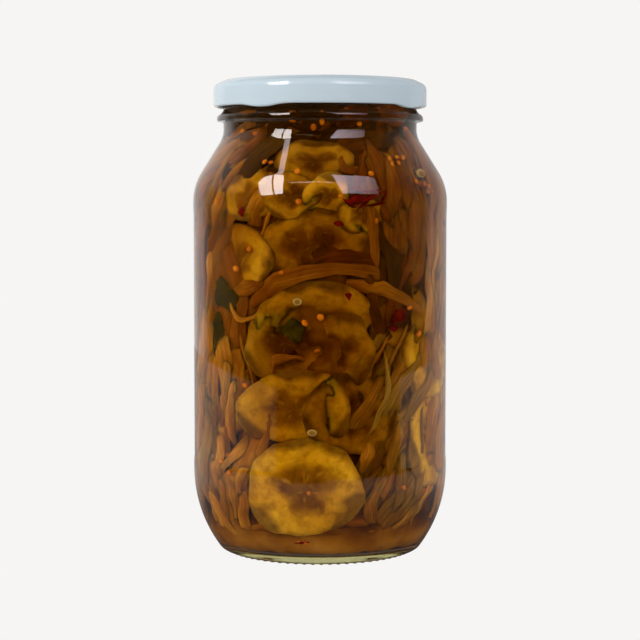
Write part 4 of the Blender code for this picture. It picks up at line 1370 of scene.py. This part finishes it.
# %% Packed spice and onion of the core
packed_spice, tree = new_material("packed_spice_and_onion")
place = add(tree, "TexCoord").outputs["Object"]
height = add(tree, "SeparateXYZ", place).outputs["Z"]
clumps = add(tree, "TexNoise", Vector=place, Scale=blobs(11.1), Detail=4.0)
dark = add(tree, "ValToRGB", clumps, stops=[(0.32, "#3c2006"), (0.5, "#62380c"), (0.66, "#845614")])
silt = add(tree, "ValToRGB", clumps, stops=[(0.3, "#86541e"), (0.7, "#9e6a2a")])
settled = add(tree, "MapRange", height, From_Min=mm(9), From_Max=mm(17), To_Min=1.0, To_Max=0.0)
painted_shade = add(tree, "MapRange", height, From_Min=mm(146), From_Max=mm(162), To_Min=0.0, To_Max=1.0)
neck_dark = add(tree, "Mix", Factor=painted_shade, A=dark, B=colour("#3a2408"), **MIXED)
layered = add(tree, "Mix", Factor=settled, A=neck_dark, B=silt, **MIXED)
clumped = add(tree, "Bump", Height=clumps, Distance=mm(1.0))
surface = add(tree, "BsdfPrincipled", Base_Color=layered, Normal=clumped, Roughness=0.5, IOR=1.05)
add(tree, "OutputMaterial", Surface=surface)
core.data.materials.append(packed_spice)
print("core:", len(tree.nodes), "nodes")

# %% [markdown]
# The small things are simpler. Cucumber peel is a very dark olive with bumps of 3 mm, mustard seed
# is orange from the brine and finely pitted, and chilli is deep red with a skin that shines a little
# more. One function makes all three, each from one noise of its own real size.

# %% Peel, mustard and chilli
def plain_food(name, dark, light, grain_width, relief, roughness=0.45):
    """A food coloured between two tones by one noise, which also gives its relief."""
    made, tree = new_material(name)
    place = add(tree, "TexCoord").outputs["Object"]
    grain = add(tree, "TexNoise", Vector=place, Scale=blobs(grain_width), Detail=3.0)
    tones = add(tree, "ValToRGB", grain, stops=[(0.3, dark), (0.7, light)])
    raised = add(tree, "Bump", Height=grain, Distance=mm(relief))
    surface = add(tree, "BsdfPrincipled", Base_Color=tones, Normal=raised, Roughness=roughness,
                  IOR=1.05)
    add(tree, "OutputMaterial", Surface=surface)
    return made


peel.data.materials.append(plain_food("cucumber_peel", "#241c06", "#40360c", 3.33, 0.3))
mustard.data.materials.append(plain_food("mustard_seed", "#a8520c", "#cc7a1c", 2.0, 0.05))
chilli.data.materials.append(plain_food("red_chilli", "#340402", "#6a0e06", 2.5, 0.2, 0.3))
print("plain foods:", [piece.data.materials[0].name for piece in (peel, mustard, chilli)])

# %% [markdown]
# An air bubble in brown brine is a pale ring with a darker middle. Clear air would need many bounces
# of light to look so, so the ring's light and the middle's shade are painted from the bubble's `rim`
# attribute instead.

# %% Air bubbles' look
air_bubble, tree = new_material("air_bubble")
rim_share = add(tree, "Attribute", attribute_name="rim").outputs["Fac"]
# painted reflection and shade: a pale ring where the bubble mirrors, darker in the middle and at its
# edge
painted_bubble_ring = add(tree, "ValToRGB", rim_share, stops=[
    (0.0, "#80582a"), (0.4, "#74501e"), (0.75, "#a68c64"), (0.9, "#7c5c34"), (1.0, "#5a3a14")])
surface = add(tree, "BsdfPrincipled", Base_Color=painted_bubble_ring, Roughness=0.3, IOR=1.05)
add(tree, "OutputMaterial", Surface=surface)
bubbles.data.materials.append(air_bubble)
print("bubble:", len(tree.nodes), "nodes")

# %% [markdown]
# Each new piece rides on the jar's one body, and the CAD solid that it stands for is hidden.

# %% Attach the pieces to the body
HANDED = {
    ("glass", "glass_jar"): [jar, *ridges],
    ("lid_enamel", "lid"): [lid],
    ("pickles", "pickle_heap"): [brine, core, cucumber, onion, mustard, chilli, peel, bubbles],
}
for (slot, node), pieces in HANDED.items():
    for piece in pieces:
        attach(piece, "root")
        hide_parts(node)
    print(len(pieces), "pieces stand for", node)

# %% [markdown]
# The table is one pale tone, as in a product photograph. To the camera it is simply that tone. Seen
# through the glass it glows darker near the jar's foot: a painted shadow of the jar. All other light
# falls on a matt pale board, and mirrors see a card of their own instead.

# %% Table
BACKDROP, TABLE_TONE, TABLE_SIZE = "#f6f5f3", "#e4e3e0", 12.0
floor = new_piece("table_floor", bpy.ops.mesh.primitive_plane_add, size=TABLE_SIZE,
                  location=(0, 0, -mm(0.2)))
floor.visible_glossy = False
pale_table, tree = new_material("pale_table")
rays = add(tree, "LightPath")
place = add(tree, "TexCoord").outputs["Object"]
away = add(tree, "VectorMath", place, operation="LENGTH")
# painted shadow: seen through the glass, the table glows dimmer near the jar's foot
painted_shadow_glow = add(tree, "MapRange", away, From_Min=mm(46), From_Max=mm(110), To_Min=0.08, To_Max=1.0)
strength = add(tree, "Math", rays.outputs["Is Camera Ray"], painted_shadow_glow, operation="MAXIMUM")
glow = add(tree, "Emission", Color=colour(BACKDROP), Strength=strength)
matt = add(tree, "BsdfPrincipled", Base_Color=colour(TABLE_TONE), Roughness=0.6)
eye = add(tree, "Math", rays.outputs["Is Camera Ray"], rays.outputs["Is Transmission Ray"],
          operation="MAXIMUM")
seen = add(tree, "MixShader", eye, matt, glow)
add(tree, "OutputMaterial", Surface=seen)
floor.data.materials.append(pale_table)
print("table:", TABLE_SIZE, "m across,", len(tree.nodes), "nodes")

# %% [markdown]
# The room has the same tone. What lights the food is dimmer and comes from all round, so the world
# tells rays apart: the camera and clear glass see the backdrop, while matt surfaces and mirrors get
# a softer light. Cycles is told not to aim at the room, since it is as bright on all sides.

# %% Room
DIFFUSE_LIGHT, MIRROR_LIGHT = 0.7, 0.55
world = bpy.data.worlds.new("pale_room")
bpy.context.scene.world = world
world.use_nodes = True
world.cycles.sampling_method = "NONE"
tree = world.node_tree
tree.nodes.clear()
rays = add(tree, "LightPath")
matt = add(tree, "Math", rays.outputs["Is Diffuse Ray"], 1 - DIFFUSE_LIGHT, operation="MULTIPLY")
mirrored = add(tree, "Math", rays.outputs["Is Glossy Ray"], rays.outputs["Is Transmission Ray"],
               operation="SUBTRACT")
dimmed = add(tree, "Math", mirrored, 1 - MIRROR_LIGHT, matt, operation="MULTIPLY_ADD")
strength = add(tree, "Math", 1.0, dimmed, operation="SUBTRACT")
room = add(tree, "Background", Color=colour(BACKDROP), Strength=strength)
add(tree, "OutputWorld", Surface=room)
print("room: matt surfaces get", DIFFUSE_LIGHT, "and mirrors", MIRROR_LIGHT, "of its light")

# %% [markdown]
# Glass is drawn by what it mirrors, and mirrors get their own surroundings here: glowing cards that
# the camera and all other light pass by, so that they take no light away. A card has one tone, and a
# function may add nodes that make it stronger in one place than in another.

# %% Cards that only mirrors see
def mirror_card(card, tone, strength_of=None):
    """Make a card glow for mirrors alone. `strength_of` adds the nodes that say how strongly."""
    made, tree = new_material(card.name)
    strength = strength_of(tree) if strength_of else 1.0
    glow = add(tree, "Emission", Color=colour(tone), Strength=strength)
    add(tree, "OutputMaterial", Surface=glow)
    card.data.materials.append(made)
    card.visible_camera = card.visible_diffuse = card.visible_transmission = False
    card.visible_shadow = card.visible_volume_scatter = False


# %% [markdown]
# A black tent stands round the front, so the front of the jar is clear and deep, and only its edges
# mirror the pale room behind. The tent's brightness is set by the angle from the front, once for
# level rays and once for raised ones, and it is dim overhead.

# %% Black tent
TENT_RADIUS, OVERHEAD = 4.0, 0.1
# Each: angle from the front and brightness
LEVEL_TONES = [(-178, 0.9), (-131, 0.9), (-127, 0.56), (-122, 0.32), (-118.5, 0.0), (108, 0.0),
               (113, 0.36), (130, 0.55), (178, 0.55)]
RAISED_TONES = [(-178, 0.9), (-140, 0.9), (-124, 0.62), (-107, 0.4), (-90, 0.2), (-72, 0.0),
                (88, 0.0), (108, 0.14), (124, 0.36), (140, 0.5), (178, 0.55)]


def grey(strength):
    """The hex grey whose linear value is a strength."""
    value = 12.92 * strength if strength <= 0.0031308 else 1.055 * strength ** (1 / 2.4) - 0.055
    return "#" + 3 * f"{round(255 * value):02x}"


def horizon(tones):
    """Ramp stops for a turn from behind, by the left, the front and the right, to behind again."""
    return [((angle + 180) / 360, grey(strength)) for angle, strength in tones]


def tent_strength(tree):
    """How bright the tent is in each direction."""
    apart = add(tree, "SeparateXYZ", add(tree, "TexCoord").outputs["Object"])
    forward = add(tree, "Math", apart.outputs["Y"], -1.0, operation="MULTIPLY")
    turn = add(tree, "Math", apart.outputs["X"], forward, operation="ARCTAN2")
    share = add(tree, "MapRange", turn, From_Min=-math.pi, From_Max=math.pi)
    level = add(tree, "ValToRGB", share, stops=horizon(LEVEL_TONES))
    raised = add(tree, "ValToRGB", share, stops=horizon(RAISED_TONES))
    height = apart.outputs["Z"]
    up = add(tree, "MapRange", height, From_Min=0.8, From_Max=1.4)
    both = add(tree, "Mix", Factor=up, A=level, B=raised, **MIXED)
    top = add(tree, "MapRange", height, From_Min=1.95, From_Max=2.9, To_Min=1.0, To_Max=OVERHEAD)
    return add(tree, "Math", add(tree, "RGBToBW", both), top, operation="MULTIPLY")


tent = new_piece("black_tent", bpy.ops.mesh.primitive_uv_sphere_add, segments=72, ring_count=36,
                 radius=TENT_RADIUS)
mirror_card(tent, BACKDROP, tent_strength)
print("tent:", triangles(tent), "triangles")

# %% [markdown]
# A grey table top, lighter towards the back and with the jar's shadow painted next to the jar, does
# the same below, with two dark patches in front. A patch is a strip of a grid, bent to a part of a
# ring round the jar.

# %% Table top for mirrors
TOP_RADIUS, TOP_TONE = 0.95, "#828282"
DARK_PATCHES = {"dark_patch_far": (-38, 73, 0.375, 0.96), "dark_patch_near": (-27, 5, 0.27, 0.376)}


def top_strength(tree):
    """How bright the table top is at each place."""
    place = add(tree, "TexCoord").outputs["Object"]
    back = add(tree, "SeparateXYZ", place).outputs["Y"]
    lighter = add(tree, "MapRange", back, From_Min=-0.45, From_Max=0.05, To_Min=0.9, To_Max=2.2)
    away = add(tree, "VectorMath", place, operation="LENGTH")
    # painted shade: the table top glows dimmer next to the jar, as if in the jar's shadow
    painted_shade = add(tree, "MapRange", away, From_Min=mm(50), From_Max=mm(170), To_Min=0.15, To_Max=1.0)
    return add(tree, "Math", lighter, painted_shade, operation="MULTIPLY")


def dark_patch(name, start, end, near, far):
    """A black part of a ring on the table, between two angles and two distances from the jar."""
    patch = new_piece(name, bpy.ops.mesh.primitive_grid_add, x_subdivisions=24, y_subdivisions=1,
                      size=2.0)
    for vertex in patch.data.vertices:
        angle = start + (end - start) * (vertex.co.x + 1) / 2
        away = near + (far - near) * (vertex.co.y + 1) / 2
        vertex.co = on_circle(angle, away, -mm(0.05))
    mirror_card(patch, BLACK)


table_top = new_piece("grey_table_top", bpy.ops.mesh.primitive_circle_add, vertices=64,
                      radius=TOP_RADIUS, fill_type="NGON", location=(0, 0, -mm(0.1)))
mirror_card(table_top, TOP_TONE, top_strength)
for name, ring_part in DARK_PATCHES.items():
    dark_patch(name, *ring_part)
print("table top:", 2 * TOP_RADIUS, "m across, with", len(DARK_PATCHES), "dark patches")

# %% [markdown]
# Two large windows in front, to the left and the right and above the camera, light the jar. A picture
# of a room could light it too, but its windows would have to hang where the photograph's do. Beside
# each hangs a glowing card of the window's true outline, which only mirrors see: the bright patches
# on the shoulder, the neck and the lid's edge are its pictures. The left window has a bar across it
# and reaches up in a slit, which makes the thin line that climbs the shoulder. The right one fades
# to the right.

# %% Pictures of the windows
WINDOW_DISTANCE, EYE_LEVEL = 3.4, 150
# Each card: its corners as angle and elevation from the jar, its tone, its strength at the left end
# and the share of it at the right end
WINDOW_PICTURES = {
    "left_window_pane": ([(-54, 11), (-42, 13.5), (-58.5, 50), (-63, 45), (-65, 34), (-57, 20)],
                         "#fff4ec", 13.0, 1.2),
    "left_window_sash": ([(-40.4, 13.5), (-33, 17), (-38, 38), (-43, 50), (-57, 51)],
                         "#fff4ec", 16.0, 1.0),
    "left_window_slit": ([(-46, 47), (-54, 50), (-67, 64), (-55, 64)],
                         "#fff0ee", 6.0, 1.0),
    "right_window_pane": ([(20, 17), (54, 13), (57, 30), (61, 43), (50, 49), (31, 52), (15, 55),
                           (17.5, 34)], "#f0dce8", 9.0, 0.12),
    "gap_between": ([(-33, 35.6), (16, 38.6), (16, 39.2), (-33, 36.2)], "#fff0e0", 14.0, 1.0),
}


def window_card(name, corners, tone, strength, right_end):
    """A glowing card with its corners in these directions, fading across."""
    card = new_piece(name, bpy.ops.mesh.primitive_circle_add, vertices=len(corners), radius=1.0,
                     fill_type="NGON")
    for vertex, (angle, rise) in zip(card.data.vertices, corners):
        flat = WINDOW_DISTANCE * math.cos(math.radians(rise))
        high = mm(EYE_LEVEL) + WINDOW_DISTANCE * math.sin(math.radians(rise))
        vertex.co = on_circle(angle, flat, high)
    ends = [vertex.co.x for vertex in card.data.vertices]

    def fading(tree):
        """The card's strength, from its left end to its right one."""
        across = add(tree, "SeparateXYZ", add(tree, "TexCoord").outputs["Object"]).outputs["X"]
        return add(tree, "MapRange", across, From_Min=min(ends), From_Max=max(ends),
                   To_Min=strength, To_Max=strength * right_end)

    mirror_card(card, tone, fading)


for name, picture in WINDOW_PICTURES.items():
    window_card(name, *picture)
print("window pictures:", len(WINDOW_PICTURES))

# %% [markdown]
# The light itself comes from area lights, which mirrors don't see: one for each window, and a weak
# one at either side for what the room's walls throw back. A light's radiance is what the eye would
# call its brightness, and its energy follows from that and its size.

# %% Light of the windows
LIGHT_DISTANCE, LIGHT_LEVEL = 1.4, 145
# Each light: the angle that it stands at, its two ends along the wall and its low and high edge, as
# shares of its distance, its radiance and its tint
WINDOW_LIGHTS = {
    "left_window": (-19.0, (-0.97, -0.25), (0.32, 1.27), 7.0, "#fffcf9"),
    "right_window": (19.0, (-0.07, 0.84), (0.33, 1.25), 2.2, "#fffcff"),
    "left_side_of_room": (-95.0, (-0.6, 0.6), (-0.2, 0.8), 1.5, "#fffdf9"),
    "right_side_of_room": (95.0, (-0.6, 0.6), (-0.2, 0.8), 1.2, "#fffdf9"),
}


def window_light(name, facing, across, edges, radiance, tint):
    """An upright area light with the size and place of a window."""
    light = bpy.data.lights.new(name, "AREA")
    light.shape = "RECTANGLE"
    light.size = (across[1] - across[0]) * LIGHT_DISTANCE
    light.size_y = (edges[1] - edges[0]) * LIGHT_DISTANCE
    light.energy = radiance * light.size * light.size_y * math.pi
    light.color = colour(tint)[:3]
    made = bpy.data.objects.new(name, light)
    bpy.context.scene.collection.objects.link(made)
    middle = mm(LIGHT_LEVEL) + 0.5 * sum(edges) * LIGHT_DISTANCE
    aside = on_circle(facing + 90, 0.5 * sum(across) * LIGHT_DISTANCE, 0.0)
    made.location = on_circle(facing, LIGHT_DISTANCE, middle) + aside
    made.rotation_euler = (math.radians(90), 0, math.radians(facing))
    made.visible_glossy = False


for name, window in WINDOW_LIGHTS.items():
    window_light(name, *window)
print("lights:", len(WINDOW_LIGHTS))

# %% [markdown]
# The camera stands level with the shoulder, 0.7 m away, and looks down a little, as in the
# photograph. Rays need many bounces to get through glass, brine, glass and out again. Light focused
# by the glass is left out, because it would only add noise.

# %% Camera
CAMERA_AWAY, CAMERA_HEIGHT, LOOK_DOWN = 0.704, 0.1423, 4.2
SENSOR, FOCAL_LENGTH = 36.0, 99.84
BOUNCES = {"max_bounces": 48, "glossy_bounces": 32, "diffuse_bounces": 4,
           "transmission_bounces": 40, "transparent_max_bounces": 24}
lens = bpy.data.cameras.new("camera")
lens.sensor_width = SENSOR
lens.lens = FOCAL_LENGTH
camera = bpy.data.objects.new("camera", lens)
scene = bpy.context.scene
scene.collection.objects.link(camera)
camera.location = (0, -CAMERA_AWAY, CAMERA_HEIGHT)
camera.rotation_euler = (math.radians(90 - LOOK_DOWN), 0, 0)
scene.camera = camera
scene.view_settings.view_transform = "Standard"
for name, count in BOUNCES.items():
    setattr(scene.cycles, name, count)
scene.cycles.caustics_refractive = False
print("camera:", CAMERA_AWAY, "m away, looking down", LOOK_DOWN, "degrees")
